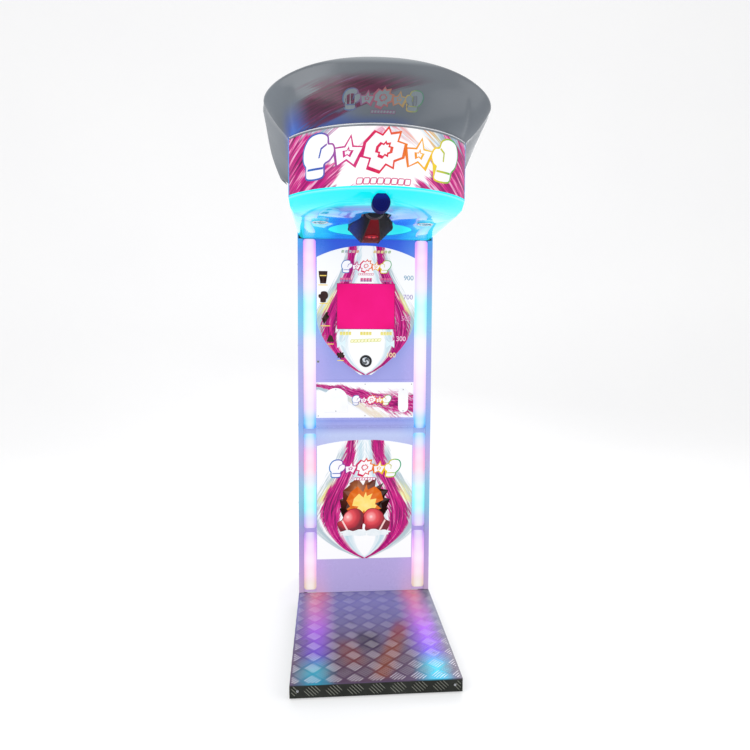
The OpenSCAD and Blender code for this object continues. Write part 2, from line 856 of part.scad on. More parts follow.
// The head's rounded lower shell, open on top, with the bag's keyhole in its floor
module head_tray() {
    placed(cyan_lit) difference() {
        tray_body(0);
        tray_body(3);
        translate([0, 0, underside_z - e]) linear_extrude(6) bag_opening();
        both() translate([downlight_x, downlight_y, 0])
            rod_z(underside_z - e, underside_z + 6, downlight_d / 2 - 5);
        translate([0, 0, dome_z]) rod_y(dome_y - dome_sag - e, dome_y + dome_len + fit, dome_r + fit);
    }
}

// Part of a ring around the sign's centre, between the head's sides
module sign_arc(r0, r1, z0, z1) {
    intersection() {
        translate([0, sign_cy, 0]) difference() {
            rod_z(z0, z1, r1);
            rod_z(z0 - e, z1 + e, r0);
        }
        block([-inner_w + fit, -head_reach - sign_bow - 10, z0], [inner_w - fit, -head_reach, z1]);
    }
}

retainer_h = 5;

// The curved, backlit sign
module sign_panel() {
    placed(lit_white) sign_arc(sign_r - acrylic_t, sign_r,
        sign_low_z + retainer_h + 0.2, roof_z - retainer_h - 0.2);
}

// Curved ledges that hold the sign's lower and upper edges
module sign_retainers() {
    placed(zinc) {
        sign_arc(sign_r - 16, sign_r + 1.5, sign_low_z + fit, sign_low_z + retainer_h);
        sign_arc(sign_r - 9, sign_r - acrylic_t - fit, sign_low_z + retainer_h, sign_low_z + retainer_h + 10);
        sign_arc(sign_r - 16, sign_r + 1.5, roof_z - retainer_h, roof_z - fit);
        sign_arc(sign_r - 9, sign_r - acrylic_t - fit, roof_z - retainer_h - 10, roof_z - retainer_h);
    }
}

// A curved white board of LEDs behind the sign
module sign_led_board() {
    board_r = sign_r - 40;
    z0 = sign_low_z + 12;
    placed("#e8e8e8") {
        sign_arc(board_r - 2, board_r, z0, roof_z - fit);
        for (a = [-40:10:40], z = [z0 + 25 : 40 : roof_z - 20])
            translate([0, sign_cy, z]) rotate(a)
                block([-3, -board_r - 2, -3], [3, -board_r, 3]);
    }
}

// A round sensor with a domed lens that faces the player, let into the lip
module sensor_dome() {
    placed(black) translate([0, dome_y, dome_z]) rotate([90, 0, 0]) rotate_extrude() {
        intersection() {
            translate([0, dome_sag - dome_ball_r]) circle(r = dome_ball_r);
            square([dome_r, dome_ball_r]);
        }
        translate([0, -dome_len]) square([dome_r, dome_len]);
    }
}

// Two recessed lights: a trim ring, a can and a lens each
module downlights() {
    r = downlight_d / 2;
    placed(zinc) both() translate([downlight_x, downlight_y, underside_z]) {
        rotate_extrude() polygon([
            [0, 1], [r - 8, 1], [r - 8, -1.5], [r - 2, -1.5], [r, -fit], [r - 5.5, -fit],
            [r - 5.5, 26], [0, 26]]);
    }
}

// The roof sheet, inside the sign's upper ledge
module head_roof() {
    placed(steel_dark) intersection() {
        translate([0, 0, roof_z]) linear_extrude(sheet_t + 1) head_plan(1, 0);
        block([-inner_w + fit, -head_reach - sign_bow, roof_z], [inner_w - fit, cabinet_d, roof_top_z]);
    }
    placed(steel_dark) block([-inner_w + fit, -fit, roof_z], [inner_w - fit, cabinet_d, roof_top_z]);
}

// The hood is a loft. Stations run from -1 to 1 across it. Those within turn_s
// follow the sign's arc, and those beyond run back along the head's sides.
turn_s = 0.7;
wing_back = 262;                             // how far a wing runs back along the head's side
wing_drop = 94;                              // how far its root drops there
wing_reach = 326;                            // how far its rim runs back
hood_root_z = roof_top_z + fit;
hood_steps = 22;

function wing(s) = max(0, (abs(s) - turn_s) / (1 - turn_s));
function sweep_deg(s) = sign_half_deg * min(1, abs(s) / turn_s) * sign(s);

// The hood's root on the head
function root_pt(s) = let (a = sweep_deg(s), q = wing(s), b = max(0, (q - 0.12) / 0.88))
    [(sign_r + 1.5) * sin(a) + sign(s) * (q > 0 ? fit : 0),
     sign_cy - (sign_r + 1.5) * cos(a) + wing_back * q,
     hood_root_z - wing_drop * pow(b, 1.3)];

// The hood's rim
function rim_pt(s) = let (q = wing(s), a = 90 * min(1, abs(s) / turn_s))
    q > 0
    ? [sign(s) * (hood_half_w + 5 * sin(180 * q) - 28 * pow(q, 8)),
       -head_reach - 26 + wing_reach * sin(90 * q),
       roof_top_z + hood_side_rise - 90 * q - 63 * pow(q, 8)]
    : [sign(s) * hood_half_w * pow(sin(a), 0.92),
       -head_reach - 26 - (sign_bow - 36) * cos(a),
       roof_top_z + hood_side_rise + (hood_rise - hood_side_rise) * pow(cos(a), 1.4)];

// The level direction in which the hood's back lies
function back_dir(s) = let (a = sweep_deg(s), q = min(1, wing(s) / 0.08),
    v = [-sin(a) * (1 - q), cos(a) + (1 - cos(a)) * q, 0]) v / norm(v);

function unit(v) = v / norm(v);

// A station's section: out along the face, round the rolled rim and back inside,
// to a flange that lies on the roof. u is the distance along the face.
function hood_section(s) = let (
        p = root_pt(s), span = rim_pt(s) - p, len = norm(span), out = span / len,
        level = back_dir(s), back = unit(level - (level * out) * out),
        flange = 26 * max(0, 1 - wing(s) / 0.08) + hood_t,
        rise = hood_t / (out * [0, 0, 1] > 0.2 ? out[2] : 1),
        face = [for (i = [0:7]) let (f = i / 7) [f * (len - rim_r), -rim_r * 0.5 * sin(180 * f)]],
        roll = [for (i = [1:7]) let (a = -90 + i * 30) [len - rim_r + rim_r * cos(a), rim_r + rim_r * sin(a)]],
        inner = [for (i = [0:6]) let (a = 120 - i * 35)
            [len - rim_r + (rim_r - hood_t) * cos(a), rim_r + (rim_r - hood_t) * sin(a)]],
        inside = [for (i = [7:-1:1]) let (f = i / 7)
            [f * (len - rim_r), hood_t - rim_r * 0.5 * sin(180 * f)]])
    concat(
        [for (q = concat(face, roll, inner, inside)) p + q[0] * out + q[1] * back],
        [p + hood_t * 1.2 * out + hood_t * back,
         p + hood_t * 1.2 * out + (flange - hood_t * 1.2 * (out * level)) * level
             - ((p + hood_t * 1.2 * out)[2] - p[2] - hood_t * 1.2 * out[2]) * [0, 0, 1],
         p + flange * level]);

module loft(sections) {
    n = len(sections[0]);
    m = len(sections);
    polyhedron(
        points = [for (s = sections, p = s) p],
        faces = concat(
            [[for (i = [n - 1:-1:0]) i]],
            [[for (i = [0:n - 1]) (m - 1) * n + i]],
            [for (j = [0:m - 2], i = [0:n - 1]) let (k = (i + 1) % n, a = j * n, b = a + n)
                each [[a + i, a + k, b + i], [a + k, b + k, b + i]]]));
}

// The hood's front and the rearmost of the handle and the wheels set the origin
front_reach = -min([for (q = hood_section(0)) q[1]]);
rear_reach = max(handle_out, wheel_d + 8) + cabinet_d;
front_y = (front_reach - rear_reach) / 2;

// The flared hood over the sign
module hood_shell() {
    placed(hood_grey) loft([for (j = [-hood_steps:hood_steps]) hood_section(j / hood_steps)]);
}

// ---------------------------------------------------------------- bag and pivot

liner_t = 3;
liner_top_z = pivot_z + bag_r + 28;

// A cup over the oval, with a rubber buffer under its roof where the bag comes to rest
module bag_pocket() {
    z0 = underside_z + 3 + fit;
    placed("#8fdde6") difference() {
        translate([0, pocket_cy, 0]) rod_z(z0, liner_top_z, pocket_r + 2 + liner_t);
        translate([0, pocket_cy, 0]) rod_z(z0 - e, liner_top_z - liner_t, pocket_r + 2);
        block([-neck_half_w, pocket_cy - pocket_r - 20, z0 - e],
              [neck_half_w, pocket_cy - 60, liner_top_z - liner_t]);
    }
    placed(black) translate([0, pivot_y + bag_start + 0.62 * bag_len, 0])
        rod_z(pivot_z + bag_r + 0.4, liner_top_z - liner_t, 22);
}

plate_x = 42;
plate_t = 6;
bearing_r = 19;
latch_y = pivot_y + 60;
latch_z = pivot_z + 54;
latch_pin_r = 4;
catch_x = plate_x + plate_t + 8;

// Two plates hung from the cross tubes, each with a ball bearing for the shaft,
// and the latch's pin and solenoid on the left one
module pivot_mount() {
    low_z = underside_z + 6;
    shroud_x = catch_x + 14;
    shroud_y = pivot_y - catch_r - 10;
    placed(zinc) {
        both() difference() {
            block([plate_x, cross_ys[0], low_z], [plate_x + plate_t, cross_ys[1] + tube, roof_z - tube]);
            translate([0, pivot_y, pivot_z]) rod_x(0, 100, bearing_r);
        }
        both() translate([0, pivot_y, pivot_z]) difference() {
            rod_x(plate_x, plate_x + plate_t + 3, bearing_r);
            rod_x(0, 100, shaft_d / 2 + run);
        }
        both_blocks([shroud_x, shroud_y, low_z], [shroud_x + 2, pivot_y + 140, roof_z - tube]);
        block([-shroud_x, shroud_y, low_z], [shroud_x, shroud_y + 2, roof_z - tube]);
        translate([0, latch_y, latch_z]) rod_x(-catch_x - 12, -plate_x - 1, latch_pin_r);
        block([-catch_x - 12, pivot_y + 16, latch_z + 28], [-plate_x - plate_t, pivot_y + 46, latch_z + 60]);
        translate([-catch_x, pivot_y + 31, 0]) rod_z(latch_z + 5 + fit, latch_z + 28, 3);
    }
}

catch_r = 30;

// The shaft with the arm's hub, the bag's mounting disc, the latch's notched catch
// and the slotted encoder disc
module bag_swing_arm() {
    hub_x = plate_x - 4;
    disc_t = 8;
    placed("#5b5f66") {
        translate([0, pivot_y, pivot_z]) {
            rod_x(-catch_x - 10, catch_x + 10, shaft_d / 2);
            rod_x(-hub_x, hub_x, shaft_d / 2 + 9);
            translate([0, arm_len, 0]) rod_y(0, disc_t, 36);
            block([-20, 0, -7], [20, arm_len + 1, 7]);
            for (a = [45:90:315])
                translate([27 * cos(a), arm_len, 27 * sin(a)]) rod_y(-5, 0, 5);
            difference() {
                intersection() {
                    rod_x(-catch_x - 4, -catch_x + 4, catch_r);
                    block([-catch_x - 5, -16, 5], [-catch_x + 5, 16, catch_r]);
                }
                block([-catch_x - 5, -7, catch_r - 11], [-catch_x + 5, 7, catch_r + 5]);
            }
            difference() {
                rod_x(catch_x, catch_x + 2, 30);
                for (a = [0:30:330])
                    rotate([a, 0, 0]) block([catch_x - 1, -1.5, 20], [catch_x + 3, 1.5, 32]);
            }
        }
    }
}

bag_start = arm_len + 8 + fit;

// Radius of the bag at a distance along it: a neck, a widening body and a round end
function bag_radius(f) = f < 0.62
    ? 34 + (bag_r - 34) * sin(90 * f / 0.62)
    : bag_r * pow(max(0, 1 - pow((f - 0.62) / 0.38, 2.6)), 0.5);

// A pear-shaped bag
module punch_bag() {
    steps = 28;
    placed(red) translate([0, pivot_y + bag_start, pivot_z]) rotate([-90, 0, 0]) rotate_extrude()
        polygon(concat([[0, 0]],
            [for (i = [0:steps - 1]) let (f = sin(90 * i / steps)) [bag_radius(f), f * bag_len]],
            [[0, bag_len]]));
}

// A forked light sensor around the encoder disc's rim
module encoder_sensor() {
    placed(black) translate([0, pivot_y, pivot_z]) difference() {
        block([plate_x + plate_t, -12, 22], [catch_x + 10, 12, 50]);
        block([catch_x - 2, -13, 21], [catch_x + 4, 13, 34]);
        rod_x(plate_x, catch_x + 20, bearing_r + 3);
    }
}

// The lever whose nose drops into the notched disc
module latch_hook() {
    x0 = -catch_x - 4;
    x1 = -catch_x + 4;
    placed(zinc) difference() {
        union() {
            translate([0, latch_y, latch_z]) rod_x(x0, x1, latch_pin_r + 5);
            block([x0, pivot_y - 7, latch_z - 6], [x1, latch_y, latch_z + 5]);
            block([x0, pivot_y - 7, pivot_z + catch_r + 1], [x1, pivot_y + 3, latch_z - 5]);
        }
        translate([0, latch_y, latch_z]) rod_x(x0 - e, x1 + e, latch_pin_r + run);
    }
}

base_frame();
platform_deck();
deck_screws();
levelling_feet();
wheel_brackets();
wheel_axle();
left_wheel();
right_wheel();
tower_frame();
left_side_panel();
right_side_panel();
back_panel();
rear_door();
door_hinge_pins();
door_lock_cam();
rear_handle();
power_inlet();
power_rocker();
left_bar_channel();
right_bar_channel();
bar_led_boards();
left_upper_bar();
left_middle_bar();
left_lower_bar();
right_upper_bar();
right_middle_bar();
right_lower_bar();
upper_moulding();
score_panel();
screen();
screen_bracket();
button_housing();
button_cap();
front_lock();
console_moulding();
console_panel();
note_cover();
coin_cover();
console_screws();
lower_moulding();
art_panel();
art_led_board();
cash_box();
power_supply();
game_board();
head_frame();
head_tray();
sign_panel();
sign_retainers();
sign_led_board();
sensor_dome();
downlights();
head_roof();
hood_shell();
bag_pocket();
pivot_mount();
bag_swing_arm();
punch_bag();
encoder_sensor();
latch_hook();
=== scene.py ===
"""The visual model of a boxing punch machine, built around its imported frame.

It is laid out as an add-on: each piece has an operator, and the sizes and colours that a
user would change are properties. It is run as a script.
"""
import json
import math

import bmesh
import bpy
import numpy as np
from mathutils import Matrix, Vector
from mathutils.bvhtree import BVHTree

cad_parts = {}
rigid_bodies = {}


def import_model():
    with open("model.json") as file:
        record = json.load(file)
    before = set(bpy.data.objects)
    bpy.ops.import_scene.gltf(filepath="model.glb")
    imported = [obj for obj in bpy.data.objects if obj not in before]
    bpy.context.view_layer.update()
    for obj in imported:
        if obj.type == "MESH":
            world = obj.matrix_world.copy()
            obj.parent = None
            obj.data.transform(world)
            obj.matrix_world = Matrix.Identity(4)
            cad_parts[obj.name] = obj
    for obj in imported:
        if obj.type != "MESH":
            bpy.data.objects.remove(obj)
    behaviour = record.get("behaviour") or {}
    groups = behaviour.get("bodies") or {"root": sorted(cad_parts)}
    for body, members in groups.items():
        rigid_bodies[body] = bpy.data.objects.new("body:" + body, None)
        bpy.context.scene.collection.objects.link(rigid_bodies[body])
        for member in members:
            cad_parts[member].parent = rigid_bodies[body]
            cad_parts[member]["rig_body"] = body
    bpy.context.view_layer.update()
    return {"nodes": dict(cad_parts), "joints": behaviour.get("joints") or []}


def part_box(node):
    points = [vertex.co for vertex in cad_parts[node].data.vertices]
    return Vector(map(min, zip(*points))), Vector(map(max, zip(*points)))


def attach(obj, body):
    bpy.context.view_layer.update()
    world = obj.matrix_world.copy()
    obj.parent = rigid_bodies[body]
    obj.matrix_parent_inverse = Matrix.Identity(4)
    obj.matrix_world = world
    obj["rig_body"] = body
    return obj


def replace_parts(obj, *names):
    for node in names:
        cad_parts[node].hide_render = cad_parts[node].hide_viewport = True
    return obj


bl_info = {
    "name": "Boxing punch machine",
    "version": (1, 0, 0),
    "blender": (4, 5, 0),
    "location": "View3D > Sidebar > Punch machine",
    "description": "Builds the pieces and finishes of a boxing punch machine around its frame",
    "category": "Object",
}

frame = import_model()
NODES = frame["nodes"]


def low(node):
    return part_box(node)[0]


def high(node):
    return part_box(node)[1]


def centre_of(node):
    """The middle of a node's box."""
    return (low(node) + high(node)) / 2


# Places that the frame gives, in metres
HALF_W = high("platform_deck").x
FRONT_Y = low("back_panel").y - 0.357
DECK_Z = high("platform_deck").z
FLOOR_Z = low("head_tray").z
ROOF_Z = high("head_roof").z
SIGN_FRONT = low("sign_panel").y
SIGN_END = high("sign_panel").y
SIGN_R = (HALF_W ** 2 + 0.17 ** 2) / (2 * 0.17)
SIGN_CY = SIGN_FRONT + SIGN_R
SIGN_LOW, SIGN_HIGH = low("sign_panel").z, high("sign_panel").z
SHIELD_Y = low("score_panel").y
PIVOT = Vector(frame["joints"][0]["pos_m"])
SCREEN_HALF = (0.124, 0.097)
PRINT_HALF = 0.209


def srgb(tone):
    """A linear colour from a hex one. A linear one stays as it is."""
    if not isinstance(tone, str):
        return tuple(tone)[:3]
    parts = [int(tone[i:i + 2], 16) / 255 for i in (1, 3, 5)]
    return tuple(c / 12.92 if c <= 0.04045 else ((c + 0.055) / 1.055) ** 2.4 for c in parts)


def scaled(tone, share):
    """A colour times a share, up to full."""
    return tuple(min(1, share * c) for c in srgb(tone))


# ---------------------------------------------------------------- shader building

class Val:
    """A socket that adds Math nodes when it is used in an expression."""

    def __init__(self, fin, socket):
        self.fin, self.socket = fin, socket

    def op(self, operation, *others):
        return self.fin.math(operation, self, *others)

    def __add__(self, other):
        return self.op("ADD", other)

    def __sub__(self, other):
        return self.op("SUBTRACT", other)

    def __mul__(self, other):
        return self.op("MULTIPLY", other)

    def __truediv__(self, other):
        return self.op("DIVIDE", other)

    def __radd__(self, other):
        return self.fin.math("ADD", other, self)

    def __rsub__(self, other):
        return self.fin.math("SUBTRACT", other, self)

    def __rmul__(self, other):
        return self.fin.math("MULTIPLY", other, self)

    def __abs__(self):
        return self.op("ABSOLUTE")

    def sin(self):
        return self.op("SINE")

    def sign(self):
        return self.op("SIGN")

    def rise(self, start, end):
        """0 below start and 1 above end, smooth between; falls where start is above end."""
        if start > end:
            return 1.0 - self.rise(end, start)
        node = self.fin.node("ShaderNodeMapRange", {"interpolation_type": "SMOOTHSTEP"},
                             Value=self, From_Min=start, From_Max=end)
        return self.fin.out(node, "Result")

    def ramp(self, stops, mode="LINEAR"):
        """A colour, or a number as a grey, from stops of (place, colour or number)."""
        node = self.fin.node("ShaderNodeValToRGB", None, Fac=self)
        band = node.color_ramp
        band.interpolation = mode
        while len(band.elements) < len(stops):
            band.elements.new(0.5)
        for element, (place, colour) in zip(band.elements, stops):
            element.position = place
            grey = isinstance(colour, (int, float))
            element.color = (*((colour,) * 3 if grey else srgb(colour)), 1.0)
        return self.fin.out(node, "Color")


class Finish:
    """A material: a Principled shader and the nodes that feed it."""

    def __init__(self, name, **uniform):
        self.mat = bpy.data.materials.new(name)
        self.mat.use_nodes = True
        self.tree = self.mat.node_tree
        self.shader = self.tree.nodes["Principled BSDF"]
        for key, value in uniform.items():
            self.shader.inputs[key.replace("_", " ")].default_value = value
        self._xyz = None

    def link(self, socket, value):
        if isinstance(value, Val):
            self.tree.links.new(socket, value.socket)
        elif socket.type == "RGBA":
            socket.default_value = (*srgb(value), 1.0)
        else:
            socket.default_value = value

    def node(self, kind, settings=None, **sockets):
        """Any node, from its type, its settings and the values or links of its sockets."""
        node = self.tree.nodes.new(kind)
        for key, value in (settings or {}).items():
            setattr(node, key, value)
        for key, value in sockets.items():
            self.link(node.inputs[key.replace("_", " ")], value)
        return node

    def out(self, node, name):
        return Val(self, node.outputs[name])

    def math(self, operation, *values):
        node = self.node("ShaderNodeMath", {"operation": operation})
        for socket, value in zip(node.inputs, values):
            self.link(socket, value)
        return Val(self, node.outputs[0])

    @property
    def pos(self):
        return self.out(self.node("ShaderNodeTexCoord"), "Object")

    @property
    def xyz(self):
        if self._xyz is None:
            node = self.node("ShaderNodeSeparateXYZ", None, Vector=self.pos)
            self._xyz = tuple(self.out(node, k) for k in "XYZ")
        return self._xyz

    def vector(self, x, y, z):
        return self.out(self.node("ShaderNodeCombineXYZ", None, X=x, Y=y, Z=z), "Vector")

    def noise(self, scale, vector=None, detail=2.0, rough=0.5, warp=0.0):
        node = self.node("ShaderNodeTexNoise", None, Vector=vector or self.pos, Scale=scale,
                         Detail=detail, Roughness=rough, Distortion=warp)
        return self.out(node, "Fac")

    def brush(self, x, y, z, detail=2.0, rough=0.5):
        """Noise drawn out along the axes that are given small shares."""
        return self.noise(1.0, self.vector(x, y, z), detail, rough)

    def cells(self, scale, feature="F1", vector=None):
        node = self.node("ShaderNodeTexVoronoi", {"feature": feature},
                         Vector=vector or self.pos, Scale=scale)
        return self.out(node, "Distance")

    def mix(self, factor, first, second, blend="MIX"):
        node = self.node("ShaderNodeMix", {"data_type": "RGBA", "blend_type": blend})
        for index, value in ((0, factor), (6, first), (7, second)):
            self.link(node.inputs[index], value)
        return Val(self, node.outputs[2])

    def facing(self, axis):
        """How far the surface faces along an axis, from -1 to 1."""
        node = self.node("ShaderNodeNewGeometry")
        split = self.node("ShaderNodeSeparateXYZ", None, Vector=self.out(node, "Normal"))
        return self.out(split, axis)

    def bump(self, height, depth):
        """Depth is the height of a full step, in metres."""
        node = self.node("ShaderNodeBump", None, Height=height, Distance=depth, Strength=1.0)
        self.link(self.shader.inputs["Normal"], self.out(node, "Normal"))
        return self

    def lit(self, colour, strength, **values):
        """A colour that is partly light: the more it glows, the less it reflects."""
        self.shader.inputs["Emission Strength"].default_value = strength
        dark = self.mix(min(1.0, strength), colour, (0.0, 0.0, 0.0))
        return self.set(base=dark, glow=colour, **values)

    def set(self, **values):
        names = {"base": "Base Color", "rough": "Roughness", "metal": "Metallic",
                 "coat": "Coat Weight", "glow": "Emission Color", "alpha": "Alpha"}
        for key, value in values.items():
            self.link(self.shader.inputs[names[key]], value)
        return self


MATERIALS = {}


def finish(maker, *args):
    """The material that a maker function gives, made once for each set of arguments."""
    key = (maker.__name__, *map(str, args))
    if key not in MATERIALS:
        MATERIALS[key] = maker(*args).mat
    return MATERIALS[key]


# ---------------------------------------------------------------- mesh building

def mesh_piece(name, verts, faces, material, body="cabinet", slot=None, smooth=35):
    """A mesh object that rides on a body. Edges sharper than smooth degrees stay sharp."""
    mesh = bpy.data.meshes.new(name)
    mesh.from_pydata([tuple(v) for v in verts], [], [tuple(f) for f in faces])
    mesh.validate()
    return dress(linked(name, mesh), material, body, slot, smooth)


def linked(name, data):
    """An object of the scene that shows this data."""
    item = bpy.data.objects.new(name, data)
    bpy.context.scene.collection.objects.link(item)
    return item


def formed(name, form, material, body, slot, smooth=35):
    """The piece that a bmesh gives."""
    mesh = bpy.data.meshes.new(name)
    form.to_mesh(mesh)
    form.free()
    return dress(linked(name, mesh), material, body, slot, smooth)


def dress(piece, material, body="cabinet", slot=None, smooth=35):
    """Gives a piece its material, its sharp edges and its body. Its slot is not used."""
    mesh = piece.data
    mesh.materials.clear()
    mesh.materials.append(material)
    form = bmesh.new()
    form.from_mesh(mesh)
    bmesh.ops.recalc_face_normals(form, faces=form.faces)
    limit = math.radians(smooth)
    for face in form.faces:
        face.smooth = True
    for edge in form.edges:
        edge.smooth = edge.is_manifold and edge.calc_face_angle(0) < limit
    form.to_mesh(mesh)
    form.free()
    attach(piece, body)
    return piece


class Parts:
    """Vertices and faces gathered for one mesh."""

    def __init__(self):
        self.verts, self.faces = [], []

    def add(self, verts, faces, move=None):
        start = len(self.verts)
        self.verts += [move @ Vector(v) if move else Vector(v) for v in verts]
        self.faces += [[start + i for i in f] for f in faces]
        return self

    def piece(self, name, material, **where):
        return mesh_piece(name, self.verts, self.faces, material, **where)


def tube(count, steps, closed=False):
    """The faces between rings of points. The ends are filled in, or joined where closed."""
    faces = []
    for i in range(count if closed else count - 1):
        for k in range(steps):
            n, j = (k + 1) % steps, (i + 1) % count
            faces.append([i * steps + k, i * steps + n, j * steps + n, j * steps + k])
    if not closed:
        faces += [list(range(steps))[::-1], [(count - 1) * steps + k for k in range(steps)]]
    return faces


BOX = tube(2, 4)
SQUARE = ((-1, -1), (1, -1), (1, 1), (-1, 1))
SIDES = ((-1, "left"), (1, "right"))


def turned(profile, steps=32, axis="Z", closed=False):
    """A solid of revolution from (radius, height) pairs, along an axis. A closed profile
    gives a ring."""
    turn = {"Z": Matrix.Identity(4), "Y": Matrix.Rotation(math.pi / 2, 4, "X"),
            "X": Matrix.Rotation(math.pi / 2, 4, "Y")}[axis]
    verts = []
    for r, h in profile:
        for k in range(steps):
            a = math.tau * k / steps
            verts.append(turn @ Vector((max(r, 1e-5) * math.cos(a), max(r, 1e-5) * math.sin(a), h)))
    return verts, tube(len(profile), steps, closed)


def swept(points, radius, steps=10, closed=False):
    """A round tube along points."""
    points = [Vector(p) for p in points]
    count = len(points)
    verts, normal = [], None
    for i, p in enumerate(points):
        ahead = points[(i + 1) % count] if closed or i < count - 1 else p
        behind = points[i - 1] if closed or i else p
        tangent = (ahead - behind).normalized()
        if normal is None:
            normal = tangent.orthogonal().normalized()
        normal = (normal - normal.dot(tangent) * tangent).normalized()
        side = tangent.cross(normal)
        for k in range(steps):
            a = math.tau * k / steps
            verts.append(p + radius * (math.cos(a) * normal + math.sin(a) * side))
    return verts, tube(count, steps, closed)


def grown(outline, d):
    """A closed 2-D outline moved out by d, or in where d is negative."""
    pts = [Vector(p) for p in outline]
    area = sum(a.x * b.y - b.x * a.y for a, b in zip(pts, pts[1:] + pts[:1]))
    d = d if area > 0 else -d
    moved = []
    for i, p in enumerate(pts):
        before, after = p - pts[i - 1], pts[(i + 1) % len(pts)] - p
        n1 = Vector((before.y, -before.x)).normalized()
        n2 = Vector((after.y, -after.x)).normalized()
        n = n1 + n2
        n = n / max(n.length_squared / 2, 0.35)
        moved.append(p + d * n)
    return moved


def loop_through(points, per=8):
    """A smooth closed outline through points."""
    pts = [Vector(p) for p in points]
    count = len(pts)
    found = []
    for i in range(count):
        p0, p1, p2, p3 = (pts[(i + k) % count] for k in (-1, 0, 1, 2))
        for j in range(per):
            t = j / per
            found.append(0.5 * (2 * p1 + (p2 - p0) * t + (2 * p0 - 5 * p1 + 4 * p2 - p3) * t * t
                                + (3 * p1 - p0 - 3 * p2 + p3) * t ** 3))
    return found


def rounded(x0, z0, x1, z1, r, steps=6):
    """The outline of a rectangle with rounded corners."""
    found = []
    for cx, cz, start in ((x1 - r, z1 - r, 0), (x0 + r, z1 - r, 90),
                          (x0 + r, z0 + r, 180), (x1 - r, z0 + r, 270)):
        for k in range(steps + 1):
            a = math.radians(start + 90 * k / steps)
            found.append(Vector((cx + r * math.cos(a), cz + r * math.sin(a))))
    return found


def slab(outline, y_back, y_front, round_r, steps=4):
    """A panel with a rounded front edge: its outline is in X and Z, and it faces -Y."""
    rings = [(y_back, 0.0)]
    for k in range(steps + 1):
        a = math.pi / 2 * k / steps
        rings.append((y_front + round_r * (1 - math.sin(a)), -round_r * (1 - math.cos(a))))
    verts = [Vector((p.x, y, p.y)) for y, d in rings for p in grown(outline, d)]
    return verts, tube(len(rings), len(outline))


def softened(node, width, material, slot, angle=40):
    """A copy of a CAD node with its sharp edges rounded, in that node's place."""
    source = NODES[node]
    form = bmesh.new()
    form.from_mesh(source.data)
    bmesh.ops.remove_doubles(form, verts=form.verts, dist=1e-5)
    bmesh.ops.dissolve_limit(form, angle_limit=math.radians(1), verts=form.verts,
                             edges=form.edges)
    limit = math.radians(angle)
    edges = [e for e in form.edges if e.is_manifold and e.calc_face_angle(0) > limit]
    bmesh.ops.bevel(form, geom=edges, offset=width, offset_type="OFFSET", segments=2,
                    profile=0.5, affect="EDGES", clamp_overlap=True)
    bmesh.ops.triangulate(form, faces=[f for f in form.faces if len(f.verts) > 4])
    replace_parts(formed(node + "_shape", form, material, source["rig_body"], slot), node)


# ---------------------------------------------------------------- finishes

def dusty(fin, low_rough, high_rough):
    """Fine handling marks: roughness that drifts, with a few wiped streaks."""
    drift = fin.noise(6.0, detail=4)
    marks = fin.noise(60.0, detail=3, rough=0.7)
    return low_rough + (high_rough - low_rough) * (0.6 * drift + 0.4 * marks)


def steel_paint(colour, gloss=0.35):
    """Powder-coated steel: orange peel, handling marks and a slight mottle."""
    fin = Finish("steel_paint", Coat_Roughness=0.2)
    tone = fin.noise(3.0, detail=3)
    base = fin.mix(tone, scaled(colour, 0.9), scaled(colour, 1.08))
    fin.set(base=base, rough=dusty(fin, gloss, gloss + 0.2), coat=0.3)
    return fin.bump(fin.noise(420.0), 0.0003)


def look():
    """The colours and lights in use."""
    return bpy.context.scene.punch_look


def cabinet_glow(kind):
    """Lavender gloss whose colour is mostly painted light: painted blue LED light under the head,
    lavender lower down, painted cyan and pink glow of the bars next to them, painted sheen bands,
    and a glow."""
    fin = Finish("cabinet_" + kind, Coat_Roughness=0.08, Specular_IOR_Level=0.35)
    x, y, z = fin.xyz
    t = z / ROOF_Z
    upper, lower = look().upper_blue_light, look().lavender
    # Painted light: painted blue LED light under the head, fading to the lavender plastic lower
    # down.
    front = t.ramp([
        (0.00, "#b4a6dc"), (0.10, "#b7a8de"), (0.20, "#a79fd8"),
        (0.36, "#a7aede"), (0.415, "#b4c2ea"), (0.432, "#98a0de"),
        (0.45, "#8890dc"), (0.54, lower), (0.59, "#9a9ee0"),
        (0.68, "#7f9ce4"), (0.76, "#4f88e4"), (0.84, upper),
        (0.872, "#0a52e0"), (1.0, "#2b62d8")])
    if kind == "flange":
        # Painted cyan and blue LED light on the flanges, stronger near the top.
        front = t.ramp([
            (0.00, "#a89fc0"), (0.09, "#a494c4"), (0.19, "#8c95c0"),
            (0.25, "#7aa9c8"), (0.33, "#9a96c8"), (0.39, "#9a9cd6"),
            (0.435, "#689cda"), (0.50, "#92a0d6"), (0.62, "#8ea6e0"),
            (0.68, "#66b2df"), (0.73, "#3aaede"), (0.78, "#5a90d8"),
            (0.84, "#4a78dc"), (0.88, "#29a8e6"), (1.0, "#4f6fd0")])
    side = abs(x) / HALF_W
    # Painted glow of the light bars on the plastic next to them, in the bars' colours.
    bar_glow_mask = side.rise(0.45, 0.74) * (FRONT_Y + 0.06 - y).rise(0.0, 0.04)
    bars = t.ramp([
        (0.03, "#e2a8c8"), (0.10, "#d8a6ea"), (0.17, "#c9a0ee"),
        (0.24, "#8fe0f4"), (0.30, "#7fe4f6"), (0.36, "#d9a6dc"),
        (0.43, "#7ab6f4"), (0.52, "#c8b4ee"), (0.62, "#c4b0f0"),
        (0.70, "#7fe6f6"), (0.78, "#c6a4ee"), (0.86, "#5a9cf0")])
    base = fin.mix(bar_glow_mask * 0.35, front, bars)
    # Painted sheen in soft lighter bands up the height.
    sheen_bands = (z * 9.0 + fin.noise(3.0, detail=1) * 3.0).sin() * 0.5 + 0.5
    base = fin.mix(sheen_bands * 0.12, base, "#e4e2fa")
    # A share of this colour glows, as painted light.
    fin.lit(base, look().glow_share, coat=0.25, rough=dusty(fin, 0.2, 0.34))
    return fin.bump(fin.noise(160.0), 0.00025)


